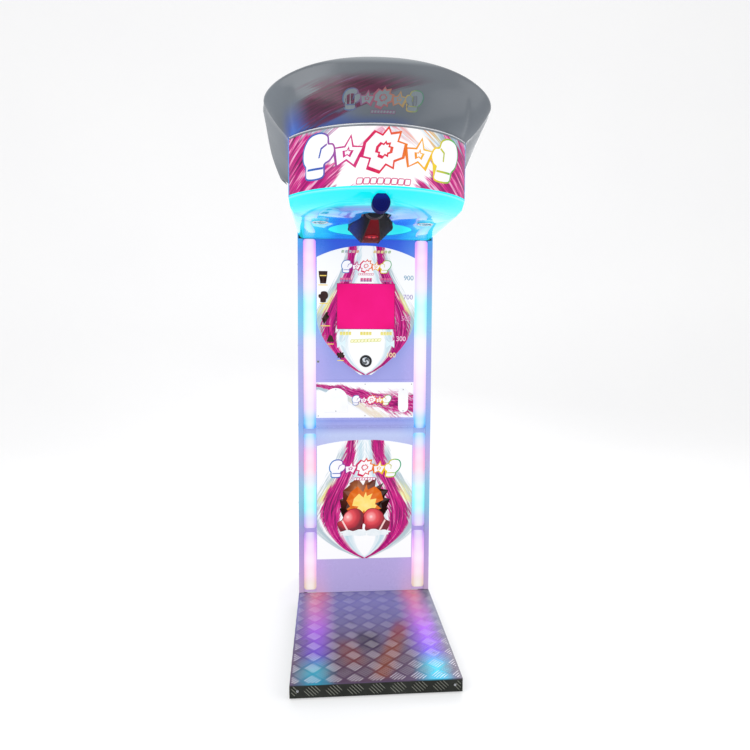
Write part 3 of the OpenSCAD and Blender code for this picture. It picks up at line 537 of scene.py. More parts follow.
def metal(kind, colour, rough, grain=0.0):
    """Bare metal with brushing along Z, or plated where grain is 0."""
    fin = Finish("metal_" + kind, Metallic=1.0)
    x, y, z = fin.xyz
    lines = fin.brush(x * 900.0, y * 900.0, z * 40.0, detail=3)
    stain = fin.noise(18.0, detail=4, rough=0.6)
    base = fin.mix(stain, scaled(colour, 0.78), scaled(colour, 1.1))
    fin.set(base=base, rough=rough + 0.12 * stain + grain * 0.2 * (lines - 0.5))
    return fin.bump(lines * grain + fin.noise(300.0) * (1 - grain) * 0.3, 0.00015)


def plastic(kind, colour, rough=0.4, grain=0.0002):
    """Moulded plastic with a fine grain."""
    fin = Finish("plastic_" + kind)
    tone = fin.noise(12.0, detail=3)
    base = fin.mix(tone, scaled(colour, 0.82), scaled(colour, 1.15))
    fin.set(base=base, rough=dusty(fin, rough, rough + 0.15))
    return fin.bump(fin.cells(650.0) + fin.noise(220.0) * 0.4, grain)


def rubber():
    """Black rubber, greyed where it is worn."""
    fin = Finish("rubber")
    wear = fin.noise(30.0, detail=5, rough=0.7)
    base = fin.mix(wear, "#141415", "#3a3937")
    fin.set(base=base, rough=0.62 + 0.25 * wear)
    return fin.bump(wear + fin.noise(700.0) * 0.5, 0.0004)


def tread_steel(highlight_share=None):
    """Rolled plate with painted reflections of the light bars, the lavender cabinet and the lower
    panel's print on its top, painted shade that darkens the folded skirt, and a slight glow. Bars
    that face the light take a high share of painted highlight."""
    fin = Finish("tread_steel", Metallic=1.0, Coat_Roughness=0.12)
    x, y, z = fin.xyz
    top = z.rise(DECK_Z - 0.006, DECK_Z - 0.001)
    scuff = fin.noise(14.0, detail=5, rough=0.65)
    fine = fin.brush(x * 260.0, y * 30.0, z * 260.0, detail=3, rough=0.7)
    run = (y - low("platform_deck").y) / (high("platform_deck").y - low("platform_deck").y)
    wander = (scuff - 0.5) * 0.05
    # Painted reflection of the lavender cabinet and purple light along the plate's length.
    middle = run.ramp([(0.0, "#4d3358"), (0.2, "#523354"), (0.4, "#564378"),
                       (0.6, "#6f6aa6"), (0.85, "#8986c4"), (1.0, "#7f7bb4")])
    # Painted reflection of the light bars: cyan at the front, then violet, then pink by the tower.
    bar_reflection = run.ramp([(0.0, "#2fa8c8"), (0.12, "#3cc4da"), (0.26, "#7a5be0"),
                       (0.5, "#b86cf2"), (0.75, "#e08ac8"), (1.0, "#f08c96")])
    # Masks for painted reflections: the light bars' columns, the lower panel's amber and red print,
    # and a dark patch.
    bar_reflection_mask = (abs(abs(x) - 0.205) + wander).rise(0.085, 0.0)
    amber_reflection = (abs(x - 0.03 - (run - 0.1) * 0.22) + wander).rise(0.055, 0.01)
    amber_reflection = amber_reflection * run.rise(0.66, 0.5) * run.rise(0.0, 0.06)
    ember_reflection = (abs(x + 0.085 + (run - 0.3) * 0.1) + wander).rise(0.06, 0.01)
    ember_reflection = ember_reflection * run.rise(0.45, 0.3) * run.rise(0.1, 0.2)
    dark_reflection = (abs(x + 0.01) + wander).rise(0.06, 0.02) * abs(run - 0.38).rise(0.13, 0.05)
    # The plate keeps a small share of its own colour under the painted reflections.
    plate = fin.mix(0.82, fin.mix(scuff, look().plate, "#a9a8b2"), middle)
    plate = fin.mix(dark_reflection * 0.7, plate, "#2b2440")
    plate = fin.mix(ember_reflection * 0.6, plate, "#8a4436")
    plate = fin.mix(amber_reflection * 0.75, plate, fin.mix(run.rise(0.3, 0.6), "#96502e", "#9a2444"))
    plate = fin.mix(bar_reflection_mask * 0.85, plate, bar_reflection)
    # Painted grey reflection along the right edge.
    plate = fin.mix((x - (1.0 - run) * 0.02).rise(0.235, 0.285) * 0.8, plate, "#6b6e72")
    # Painted shade: the folded skirt is darker.
    skirt = fin.mix(scuff, "#1b1c1a", "#41433f")
    # Painted highlight on the bars that face the light.
    if highlight_share is not None:
        plate = fin.mix(highlight_share, plate, fin.mix(run.rise(0.1, 0.8) * 0.35 + 0.35, "#fbf7ff", plate))
        skirt = fin.mix(highlight_share, skirt, "#c9cbbd")
    base = fin.mix(top, skirt, plate)
    grime = fin.noise(45.0, detail=4).rise(0.62, 0.8) * 0.5
    base = fin.mix(grime, base, "#33302f")
    # The plate glows a little, as painted light.
    fin.lit(base, 0.3, rough=0.24 + 0.16 * scuff + 0.1 * fine + 0.15 * grime, coat=0.05)
    return fin.bump(fin.noise(120.0, detail=3) * 0.6 + fine * 0.5, 0.0006)


def light_bar(bottom, top, *tones):
    """An opal diffuser lit from behind by strips whose colour runs along it."""
    fin = Finish("light_bar", Coat_Roughness=0.06)
    x, _, z = fin.xyz
    t = (z - bottom) / (top - bottom)
    tint = t.ramp(tones, "EASE")
    across = abs(abs(x) - (HALF_W - 0.05)) / 0.027
    core = across.rise(0.95, 0.1)
    hot = (t * ((top - bottom) / 0.06) * math.tau).sin() * 0.5 + 0.5
    edge = fin.mix(core.rise(0.5, 0.0) * 0.55, tint, tint, "MULTIPLY")
    glow = fin.mix(core * (0.38 + 0.10 * hot), edge, "#ffffff")
    fin.lit(glow, look().bar_light, coat=0.2, rough=dusty(fin, 0.24, 0.34))
    return fin.bump(fin.noise(240.0, detail=1), 0.0002)


def tray_gloss():
    """The head's lower shell, its colour painted LED light: painted cyan light on its lip and
    sides, painted deeper blue light across its floor, painted reflections in swirls, a painted
    highlight near its top, and a glow.
    """
    fin = Finish("tray_gloss", Coat_Roughness=0.02, Specular_IOR_Level=0.3)
    x, y, z = fin.xyz
    back = (y - SIGN_FRONT) / (FRONT_Y - SIGN_FRONT)
    side = abs(x) / HALF_W
    cyan, blue = look().cyan, look().floor_blue_light
    # Painted blue light across the floor, cyan near the front.
    floor = back.ramp([(0.0, "#05d6f6"), (0.12, "#06c4f2"), (0.26, "#0596ee"),
                       (0.5, blue), (0.8, "#038cee"), (1.0, "#0a8ee6")])
    # Painted cyan light towards the sides.
    rim = side.ramp([(0.0, 0.0), (0.42, 0.0), (0.62, 0.55), (0.8, 0.85), (1.0, 1.0)])
    # Painted reflections: soft swirls, lighter and darker.
    swirl = fin.noise(2.6, fin.vector(x * 1.2, y * 2.0, 0.0), warp=1.2)
    floor = fin.mix(rim, floor, cyan)
    floor = fin.mix(swirl.rise(0.52, 0.7) * 0.35, floor, "#2fe6fa")
    floor = fin.mix(swirl.rise(0.44, 0.3) * 0.35, floor, "#0560cc")
    # Painted cyan light on the lip.
    lip = (z - FLOOR_Z).rise(0.0035, 0.008)
    base = fin.mix(lip, floor, cyan)
    # Painted highlight near the top edge.
    top = (z - FLOOR_Z).rise(0.036, 0.044)
    base = fin.mix(top * 0.6, base, "#b8f4fb")
    # The shell glows with this colour, as painted light.
    fin.lit(base, look().tray_light, coat=0.45, rough=dusty(fin, 0.06, 0.14))
    return fin.bump(fin.noise(30.0, detail=1), 0.0002)


def retainer_gloss():
    """The sign's end strips: grey above, painted cyan light below, and a glow."""
    fin = Finish("retainer_gloss", Coat_Roughness=0.05, Specular_IOR_Level=0.3)
    z = fin.xyz[2]
    tone = fin.noise(20.0, detail=3)
    upper = fin.mix(tone, "#5f656c", "#7d8389")
    # Painted cyan light on the lower part of the strips.
    base = fin.mix(z.rise(SIGN_LOW + 0.04, SIGN_HIGH - 0.04), look().cyan, upper)
    # The strips glow a little, as painted light.
    return fin.lit(base, 0.35, rough=0.2 + 0.15 * tone).bump(tone, 0.0002)


def pocket_gloss():
    """The bag's pocket, its colour painted light: painted cyan light at its mouth, darkening to
    painted deep blue shade at its top, with painted highlight streaks and a glow.
    """
    fin = Finish("pocket_gloss", Coat_Roughness=0.03)
    x, y, z = fin.xyz
    depth = (z - FLOOR_Z) / 0.15
    # Painted light and shade: bright cyan at the mouth, darker blue deeper in the pocket.
    base = depth.ramp([(0.0, "#1ff2fb"), (0.3, "#12e0f8"), (0.75, "#0b9ed2"),
                       (1.0, "#064f86")])
    # Painted highlights in streaks.
    highlight_streaks = fin.noise(4.0, fin.vector(x * 2.0, y * 2.0, z * 9.0))
    base = fin.mix(highlight_streaks * 0.3, base, "#8ffcff")
    # The pocket glows with this colour, as painted light.
    fin.lit(base, look().tray_light * 1.25, coat=0.4, rough=dusty(fin, 0.10, 0.2))
    return fin.bump(fin.noise(50.0), 0.0003)


def lyre(fin, x, t, seed, width=1.0):
    """A printed figure of brushed bands. They start near the top's middle, swell out to
    both sides and meet at the bottom. x is across, in half panels, and t runs up from 0."""
    side = x.sign() * 3.1
    place = t.ramp([(0.0, 0.0), (0.03, 0.16), (0.08, 0.36), (0.15, 0.54), (0.23, 0.68),
                    (0.32, 0.74), (0.41, 0.74), (0.50, 0.68), (0.60, 0.57), (0.70, 0.44),
                    (0.80, 0.34), (0.90, 0.29), (1.0, 0.28)], "B_SPLINE")
    half = t.ramp([(0.0, 0.02), (0.08, 0.07), (0.2, 0.12), (0.32, 0.18), (0.42, 0.21),
                   (0.54, 0.18), (0.7, 0.13), (0.85, 0.09), (1.0, 0.09)], "B_SPLINE")
    s = (abs(x) - place) / (half * width)
    broad = fin.brush(s * 1.6 + seed, t * 2.6, side)
    fine = fin.brush(s * 9.0 + seed, t * 3.4, side + 1.0, detail=3, rough=0.65)
    lean = abs(x) * 0.8 + t * 1.1
    brush = fin.brush(lean * 34.0, abs(x) * 2.0 - t * 2.0, side + seed, detail=3,
                      rough=0.7)
    ragged = (broad - 0.5) * 1.3 + (fine - 0.5) * 0.9 + (brush - 0.5) * 1.9 * t.rise(0.12, 0.45)
    core = (1.05 - abs(s + 0.05) + ragged).rise(0.0, 0.42)
    outer = (1.0 - abs(s - 1.15) * 0.9 + ragged).rise(0.25, 0.9) * t.rise(1.0, 0.86)
    inner = (1.0 - abs(s + 1.35) * 0.8 + ragged).rise(0.25, 1.1)
    flare = (1.2 - abs(s - 0.7) + ragged * 1.2).rise(0.3, 0.8) * \
        t.rise(0.44, 0.52) * t.rise(0.70, 0.56)
    magenta, pale = look().magenta, "#a9cfdf"
    colour = fin.mix(inner * 0.75, "#fdfdff", pale)
    colour = fin.mix(outer * 0.8, colour, fin.mix(fine, "#5f7f93", "#b5d3dd"))
    colour = fin.mix(flare * 0.9, colour, fin.mix(fine, "#e9e36a", "#f8f2ae"))
    shade = (fine * 0.8 + brush * 0.2).rise(0.28, 0.74).ramp([
        (0.10, "#5a0848"), (0.34, "#96096c"), (0.5, magenta), (0.74, "#d81f8c"),
        (0.98, "#f0a0cf")])
    return fin.mix(core, colour, shade)


def printed(fin, colour, gloss=0.18):
    """A print under clear acrylic, lit evenly from behind."""
    dots = fin.noise(900.0, detail=1)
    fin.lit(colour, look().print_light, coat=0.05, rough=dusty(fin, gloss, gloss + 0.1))
    return fin.bump(dots, 0.00005)


def panel_print(kind, x_half, bottom, top):
    """The print of the score panel or the lower panel."""
    fin = Finish("print_" + kind, Coat_Roughness=0.03, Specular_IOR_Level=0.2)
    x, y, z = fin.xyz
    t = (z - bottom) / (top - bottom)
    colour = lyre(fin, x / x_half, t, *((2.0, 1.0) if kind == "score" else (7.0, 1.45)))
    if kind == "score":
        edge = (SHIELD_Y + 0.0012 - y).rise(0.0, 0.0004)
        colour = fin.mix(edge, "#f3f2fa", colour)
    return printed(fin, colour)


def console_print():
    """A brushed swoosh that falls from the left and broadens to the right."""
    fin = Finish("print_console", Coat_Roughness=0.03, Specular_IOR_Level=0.2)
    x, _, z = fin.xyz
    a, v = x / 0.212, (z - 0.914) / 0.078
    line = (a * 0.5 + 0.5).ramp([(0.0, 0.92), (0.2, 0.84), (0.42, 0.68), (0.6, 0.50),
                                 (0.8, 0.38), (1.0, 0.36)], "EASE") * 2.0 - 1.0
    half = (a * 0.5 + 0.5).ramp([(0.0, 0.12), (0.3, 0.26), (0.6, 0.52), (0.85, 0.8),
                                 (1.0, 0.85)], "EASE")
    s = (v - line) / half
    broad = fin.brush(a * 1.6, s * 1.3, 4.0)
    fine = fin.brush(a * 2.4, s * 8.0, 9.0, detail=3, rough=0.65)
    brush = fin.brush((v + a * 2.2) * 9.0, (v - a) * 0.8, 3.0, detail=3, rough=0.7)
    ragged = (broad - 0.5) * 1.2 + (fine - 0.5) * 1.1 + (brush - 0.5) * 1.6
    core = (0.95 - abs(s) + ragged).rise(0.0, 0.4)
    grey = (1.1 - abs(s + 1.4) * 0.7 + ragged).rise(0.3, 1.0) * a.rise(0.2, -0.7)
    under = (1.0 - abs(s + 1.5) * 0.8 + ragged).rise(0.4, 1.0)
    under = under * a.rise(-0.5, -0.1) * a.rise(0.7, 0.3)
    colour = fin.mix(grey * 0.85, "#fbfbff", fin.mix(fine, "#6f8ea6", "#bcd8e2"))
    colour = fin.mix(under * 0.8, colour, fin.mix(fine, "#d9dc7c", "#f2cfe2"))
    shade = (fine * 0.7 + brush * 0.3).rise(0.28, 0.72).ramp([
        (0.10, "#5a0848"), (0.34, "#96096c"), (0.5, look().magenta),
        (0.72, "#d8509f"), (0.94, "#cfe4ee")])
    return printed(fin, fin.mix(core, colour, shade))


def sign_print():
    """Brushed rays that lean in from both lower corners."""
    fin = Finish("print_sign", Coat_Roughness=0.03, Specular_IOR_Level=0.2)
    x, y, z = fin.xyz
    u = fin.math("ARCTAN2", x, SIGN_CY - y) * SIGN_R
    v = z - SIGN_LOW
    side = u.sign() * 2.3
    across = v + abs(u) * 0.70
    along = abs(u) - v * 0.7
    broad = fin.brush(across * 22.0, along * 2.0, side)
    fine = fin.brush(across * 60.0, along * 3.5, side + 1.0, detail=3, rough=0.7)
    hair = fin.brush(across * 130.0, along * 6.0, side + 2.0)
    ragged = (broad - 0.5) * 3.0 + (fine - 0.5) * 2.2
    far = abs(u).rise(0.02, 0.30)
    corner = (far * 1.15 - v * 4.2 + 0.12 + ragged * 0.45).rise(0.34, 0.52)
    upper = (far * 0.7 + v * 3.0 - 0.20 + ragged * 0.5).rise(0.34, 0.60)
    rays = (v * 3.2 - abs(u) * 1.6 + 0.1 + ragged * 0.55).rise(0.42, 0.66)
    warm = (u / 0.66 + 0.5).ramp([(0.0, "#5f8fb5"), (0.3, "#c02f8c"),
                                  (0.5, "#e0508f"), (0.7, "#f0963c"),
                                  (0.85, "#8fbf6a"), (1.0, "#5f9cc0")])
    colour = fin.mix(rays * 0.75, "#fefdff", fin.mix(fine.rise(0.4, 0.6), warm, "#f8e6f2"))
    cool = fin.mix(fine.rise(0.38, 0.6), "#6f93ad", "#e4f0f6")
    colour = fin.mix(upper * 0.85, colour, fin.mix(hair.rise(0.5, 0.62), cool, warm))
    shade = (fine * 0.7 + hair * 0.3).rise(0.28, 0.70).ramp([
        (0.08, "#4a0640"), (0.28, "#8a0a64"), (0.5, "#b80a78"),
        (0.72, "#d8208c"), (0.86, "#f6b8da"), (0.97, "#a9cbdc")])
    return printed(fin, fin.mix(corner, colour, shade))


def rainbow(centre_x, half, curved=False, dim=False):
    """The colour that runs along an emblem's outline: blue, magenta, orange, yellow, green."""
    fin = Finish("outline_print", Specular_IOR_Level=0.2)
    x, y, _ = fin.xyz
    u = fin.math("ARCTAN2", x, SIGN_CY - y) * SIGN_R if curved and not dim else x
    t = (u - centre_x) / (2 * half) + 0.5 + (fin.noise(20.0) - 0.5) * 0.1
    tint = t.ramp([(0.0, "#1f7fc9"), (0.16, "#3b57b5"), (0.3, "#c9187f"),
                   (0.5, "#e0284a"), (0.64, "#f08a1d"), (0.78, "#f2cf21"),
                   (0.92, "#4fb548"), (1.0, "#129a76")])
    if dim:
        tint = fin.mix(0.72, tint, "#5c6268")
    return fin.lit(tint, look().print_light, rough=0.28 + 0.1 * fin.noise(80.0))


def ink(colour, second=None, scale=30.0):
    """A printed spot colour with a slight mottle, or a blend of two."""
    fin = Finish("ink", Specular_IOR_Level=0.2)
    tint = fin.mix(fin.noise(scale, detail=3), colour, second or colour)
    return fin.lit(tint, look().print_light, rough=0.26 + 0.12 * fin.noise(90.0))


def glove_ink(cx, cz, r):
    """Airbrushed red with a soft highlight at its upper left and a dark lower rim."""
    fin = Finish("glove_ink")
    x, _, z = fin.xyz
    dx, dz = (x - cx + r * 0.3) / r, (z - cz - r * 0.35) / r
    away = (dx * dx + dz * dz).op("SQRT") + (fin.noise(25.0) - 0.5) * 0.15
    tint = away.ramp([(0.0, "#ffd0cf"), (0.18, "#f78f92"), (0.45, "#e2454f"),
                      (0.75, "#b81f33"), (1.0, "#6f0f22")], "EASE")
    return fin.lit(tint, look().print_light, rough=0.3 + 0.1 * fin.noise(60.0))


def hood_gloss():
    """Grey formed plastic with a dim print on its face, painted shade low on the face, painted
    highlights on its rim and ears, painted blue light from below left and on its lower front, and a
    glow.
    """
    fin = Finish("hood_gloss", Coat_Roughness=0.12, Specular_IOR_Level=0.35)
    x, y, z = fin.xyz
    h = (z - (ROOF_Z - 0.03)) / (high("hood_shell").z - ROOF_Z + 0.03)
    front = (FRONT_Y - 0.60 - y).rise(-0.02, 0.05)
    u, v = x, h
    across = v * 0.34 - u * 0.55
    along = u + v * 0.35
    broad = fin.brush(across * 14.0, along * 3.0, 3.0)
    fine = fin.brush(across * 80.0, along * 5.0, 8.0, detail=3, rough=0.7)
    ragged = (broad - 0.5) * 2.2 + (fine - 0.5) * 1.3
    band = (1.0 - abs(across - 0.24) * 6.0 + ragged).rise(0.3, 0.8)
    print_area = front * abs(u + 0.01).rise(0.27, 0.2) * v.rise(0.05, 0.14) * \
        (v - u * 0.5).rise(0.86, 0.66) * (u * 1.6 + v).rise(1.05, 0.5)
    # Painted shade and light: darker low on the face, lighter towards the top.
    grey = fin.mix(h, "#525a63", "#666b71")
    # Painted highlight on the rolled rim.
    grey = fin.mix(h.rise(0.88, 0.98), grey, "#989da1")
    # Painted highlight on the flared ears.
    ear_highlight = (fin.noise(5.0, detail=1) - 0.5) * 0.5 + abs(u) * 0.9
    grey = fin.mix(ear_highlight.rise(0.1, 0.4) * 0.3, grey, "#8a929a")
    # Painted blue light from the lamps below left.
    lit = u.rise(-0.04, -0.24) * v.rise(0.5, 0.08) * u.rise(-0.315, -0.27)
    grey = fin.mix(lit * 0.85, grey, "#2a58c0")
    grey = fin.mix(lit.rise(0.6, 1.0) * 0.5, grey, "#2f7be0")
    # Painted dark blue light on the lower front.
    navy_light = front * abs(u + 0.09).rise(0.22, 0.1) * v.rise(0.26, 0.08)
    grey = fin.mix(navy_light * 0.75, grey, "#22407e")
    plum = fine.ramp([(0.25, "#1c0014"), (0.45, "#3c0226"), (0.62, "#5c0a3c"),
                      (0.8, "#6f6f92")])
    colour = fin.mix(print_area * band * 0.95, grey, plum)
    inside = fin.facing("Y").rise(0.1, 0.5)
    colour = fin.mix(inside * 0.6, colour, "#5c5f63")
    # The hood glows a little, as painted light.
    fin.lit(colour, 0.3, coat=0.12, rough=dusty(fin, 0.26, 0.4))
    return fin.bump(fin.noise(22.0) + fin.noise(260.0) * 0.1, 0.0006)


def bag_leather():
    """Synthetic leather panels: red in front, black behind, with creases and a fine grain. The red
    has painted shade low down, painted blue light falls on its lower left, and the creases have
    painted shade.
    """
    fin = Finish("bag_leather", Coat_Roughness=0.35, Specular_IOR_Level=0.07)
    x, y, z = fin.xyz
    red, dark = look().bag_red, "#050408"
    d, h = (y - PIVOT.y) / 0.44, (z - PIVOT.z) / 0.092
    around = fin.math("ARCTAN2", x, h * -0.092)
    front = abs(around).rise(math.pi / 8 * 1.04, math.pi / 8 * 0.96) * d.rise(0.95, 0.93)
    wear = fin.noise(26.0, detail=5, rough=0.6)
    grain = fin.cells(560.0, "DISTANCE_TO_EDGE")
    crease = 1.0 - fin.cells(85.0, "DISTANCE_TO_EDGE",
                             fin.vector(x + wear * 0.01, y, z + wear * 0.01)).rise(0.0, 0.06)
    # Painted shade: the red panel is darker towards the bottom.
    base = fin.mix(front, dark, fin.mix(h.rise(-1.0, 0.6), scaled(red, 0.3), scaled(red, 0.85)))
    # Painted blue light on the lower left.
    rim = x.rise(-0.02, -0.085) * h.rise(0.4, -0.4)
    base = fin.mix(rim * 0.8, base, "#1238a0")
    # Painted shade in the creases.
    base = fin.mix(crease * 0.35, base, "#050507")
    fin.set(base=base, coat=0.02, rough=0.38 + 0.22 * wear + 0.1 * crease)
    return fin.bump(grain.rise(0.0, 0.25) * 0.5 - crease * 0.8 + wear * 0.6, 0.0009)


def screen_glow():
    """A lit display: one strong colour that falls off a little towards its corners."""
    fin = Finish("screen_glow", Coat_Roughness=0.02, Specular_IOR_Level=0.1)
    x, y, z = fin.xyz
    dx, dz = abs(x) / SCREEN_HALF[0], abs(z - centre_of("screen").z) / SCREEN_HALF[1]
    far = (dx * dx + dz * dz).rise(0.9, 2.1)
    cloud = fin.noise(9.0, detail=3)
    tint = fin.mix(cloud, look().screen_pink, "#ff1490")
    tint = fin.mix(far * 0.35, tint, "#b3006a")
    body = (y - low("screen").y).rise(0.006, 0.009)
    rows = (z * 5200.0).sin() * 0.5 + 0.5
    tint = fin.mix(rows * 0.06, tint, "#000000")
    tint = fin.mix(body, tint, "#101012")
    return fin.lit(tint, look().screen_light, coat=0.15, rough=0.14 + 0.05 * cloud)


def led_board():
    """A white board with a row of lit pads."""
    fin = Finish("led_board", Emission_Strength=0.6)
    z = fin.xyz[2]
    pads = (z * (math.tau / 0.02)).sin().rise(0.9, 0.97)
    base = fin.mix(pads, "#eef0f4", "#c9a640")
    base = fin.mix(fin.noise(80.0, detail=3) * 0.2, base, "#9fb0c4")
    fin.set(base=base, glow=fin.mix(pads, "#cfd8ff", "#ffffff"),
            rough=0.35 + 0.2 * fin.noise(40.0))
    return fin.bump(pads, 0.0004)


def circuit():
    """A green board with tracks and dark chips."""
    fin = Finish("circuit")
    tracks = fin.cells(90.0, "DISTANCE_TO_EDGE").rise(0.03, 0.06)
    base = fin.mix(tracks, "#8aa05a", "#155c30")
    chips = fin.cells(28.0).rise(0.22, 0.2)
    base = fin.mix(chips * 0.8, base, "#17181a")
    fin.set(base=base, rough=0.3 + 0.3 * tracks)
    return fin.bump(tracks + chips, 0.0006)


def dark_lens():
    """A dark blue dome with faint rings and a painted highlight on its upper part."""
    fin = Finish("dark_lens", Specular_IOR_Level=0.06)
    x, _, z = fin.xyz
    dz = z - centre_of("sensor_dome").z
    rings = ((x * x + dz * dz).op("SQRT") * 900.0).sin() * 0.5 + 0.5
    base = fin.mix(rings * 0.25, "#050b4d", "#0d1a78")
    # Painted highlight, lighter towards the top.
    base = fin.mix(dz.rise(0.0, 0.028) * 0.4, base, "#1c3fb4")
    return fin.set(base=base, rough=0.55 + 0.1 * fin.noise(40.0))


def floor_plain():
    """The white floor."""
    fin = Finish("floor_plain")
    tone = fin.noise(0.8, detail=3)
    return fin.lit(fin.mix(tone, "#fbfbfc", "#ffffff"), 0.45, rough=0.6 + 0.2 * tone)


# ---------------------------------------------------------------- printed shapes

GLOVE = loop_through([(-0.28, -0.5), (0.18, -0.5), (0.22, -0.28), (0.38, -0.08), (0.42, 0.2),
                      (0.28, 0.44), (0.0, 0.5), (-0.22, 0.42), (-0.28, 0.24), (-0.42, 0.2),
                      (-0.48, 0.04), (-0.40, -0.12), (-0.26, -0.22)], 5)


def star(points, inner, turn=90):
    """A star of radius 0.5."""
    found = []
    for k in range(2 * points):
        r, a = inner if k % 2 else 0.5, math.radians(turn + 180 * k / points)
        found.append(Vector((r * math.cos(a), r * math.sin(a))))
    return found


def oval(rx, rz, steps=32):
    """The outline of an ellipse."""
    return [Vector((rx * math.cos(a), rz * math.sin(a)))
            for a in (math.tau * k / steps for k in range(steps))]


def placed(outline, x, z, size=1.0, lean=0.0, flip=False, turn=0.0):
    """An outline scaled, leant over, turned and moved to its place."""
    c, s = math.cos(math.radians(turn)), math.sin(math.radians(turn))
    found = []
    for p in outline:
        a, b = (-p.x if flip else p.x) * size, p.y * size
        a, b = a * c - b * s, a * s + b * c
        found.append(Vector((x + a + lean * b, z + b)))
    return found[::-1] if flip else found


def on_sign(x, z, lift):
    """A point of the sign's arc, from the distance along it and the height."""
    r = SIGN_R + lift
    return Vector((r * math.sin(x / SIGN_R), SIGN_CY - r * math.cos(x / SIGN_R), z))


def on_flat(y):
    """Places points on a flat front at y."""
    return lambda x, z, lift: Vector((x, y - lift, z))


def on_mesh(piece):
    """Places points on the front of a curved piece."""
    tree = BVHTree.FromPolygons([v.co for v in piece.data.vertices],
                                [p.vertices for p in piece.data.polygons])

    def place(x, z, lift):
        hit = tree.ray_cast(Vector((x, -2.0, z)), Vector((0, 1, 0)))
        return hit[0] + Vector((0, -lift, 0))
    return place


def filled_in(outlines, spot):
    """A bmesh of filled outlines, with each point where spot puts it."""
    form = bmesh.new()
    for outline in outlines:
        form.faces.new([form.verts.new(spot(p)) for p in outline])
    bmesh.ops.triangulate(form, faces=form.faces[:], ngon_method="EAR_CLIP")
    return form


def thickened(form):
    """Gives a flat bmesh a second side, and returns that side's vertices."""
    found = bmesh.ops.extrude_face_region(form, geom=form.faces[:])["geom"]
    return {v for v in found if isinstance(v, bmesh.types.BMVert)}


PRINT_THICK = 0.0004


def decal(name, outlines, material, place, lift=0.0001, curved=False):
    """Thin printed shapes that stand just proud of what place puts them on."""
    form = filled_in(outlines, lambda p: (p.x, 0.0, p.y))
    if curved:
        for k in range(-30, 31):
            geom = form.verts[:] + form.edges[:] + form.faces[:]
            bmesh.ops.bisect_plane(form, geom=geom, plane_co=(k * 0.012, 0, 0),
                                   plane_no=(1, 0, 0), dist=1e-6)
    front = thickened(form)
    for v in form.verts:
        v.co = place(v.co.x, v.co.z, lift + (PRINT_THICK if v in front else 0.0))
    return formed(name, form, material, "cabinet", "printed_acrylic", smooth=20)


LEAN = 0.22
FIVE, TEN = star(5, 0.21), star(10, 0.34)


def emblem(name, x, z, width, place, curved=False, rim=0.035, dim=False):
    """A slanted row of glove, star, burst, star and glove with a rainbow outline, and a row
    of small slanted tabs under it. A dim one is printed in greys."""
    def at(outline, a, b, size, flip=False):
        return placed(outline, x + a * width, z + b * width, size * width, LEAN, flip)

    left, right = (GLOVE, -0.385, 0.0, 0.225, True), (GLOVE, 0.385, 0.0, 0.225, False)
    shapes = (left, (FIVE, -0.195, 0.0, 0.155), (TEN, 0.0, 0.012, 0.215),
              (FIVE, 0.195, 0.0, 0.155), right)
    tab = rounded(-0.5, -0.5, 0.5, 0.5, 0.15, 3)
    edge = rim * width * 0.42
    fills = [at(*shape) for shape in shapes]
    small = [at(tab, -0.13 + 0.037 * k, -0.150, 0.027) for k in range(8)]
    outline = finish(rainbow, x, 0.52 * width, curved, dim)
    white = finish(ink, "#7c868d", "#6c767d") if dim else finish(ink, "#ffffff", "#f6f2fd")
    rose = finish(ink, "#7d4a6c", "#6d5a74") if dim else finish(ink, "#c4107a", "#e0406a")
    cuff = [Vector(p) for p in ((-0.27, -0.33), (0.2, -0.33), (0.2, -0.28), (-0.27, -0.28))]
    fold = [Vector(p) for p in ((-0.27, 0.22), (-0.14, 0.14), (-0.12, -0.06), (-0.08, -0.06),
                                (-0.1, 0.17), (-0.25, 0.26))]
    marks = [at(p, *glove[1:]) for glove in (left, right) for p in (cuff, fold)]

    def centres(of_star, of_burst):
        return [at(FIVE, a, 0.0, 0.155 * of_star) for a in (-0.195, 0.195)] + \
            [at(TEN, 0.0, 0.012, 0.215 * of_burst)]

    for part, outlines, material, lift in (
            ("edge", [grown(o, edge) for o in fills], outline, 0.0001),
            ("fill", fills, white, 0.0006),
            ("tab_edge", [grown(o, edge * 0.5) for o in small], rose, 0.0001),
            ("tabs", small, white, 0.0006),
            ("marks", marks + centres(0.42, 0.45), outline, 0.0011),
            ("hearts", centres(0.22, 0.3), white, 0.0016)):
        decal(f"{name}_{part}", outlines, material, place, lift, curved=curved)


def figures(name, text, x, z, height, material, y):
    """Raised printed numerals, facing the front."""
    curve = bpy.data.curves.new(name, "FONT")
    curve.body = text
    curve.size = height / 0.72
    curve.extrude = 0.0002
    curve.align_x, curve.align_y = "CENTER", "CENTER"
    curve.offset = height * 0.012
    source = linked(name + "_curve", curve)
    bpy.context.view_layer.update()
    mesh = bpy.data.meshes.new_from_object(source.evaluated_get(
        bpy.context.evaluated_depsgraph_get()))
    bpy.data.objects.remove(source)
    mesh.transform(Matrix.Translation((x, y, z)) @ Matrix.Rotation(math.pi / 2, 4, "X"))
    mesh.name = name
    return dress(linked(name, mesh), material, slot="printed_acrylic", smooth=20)


# ---------------------------------------------------------------- pieces

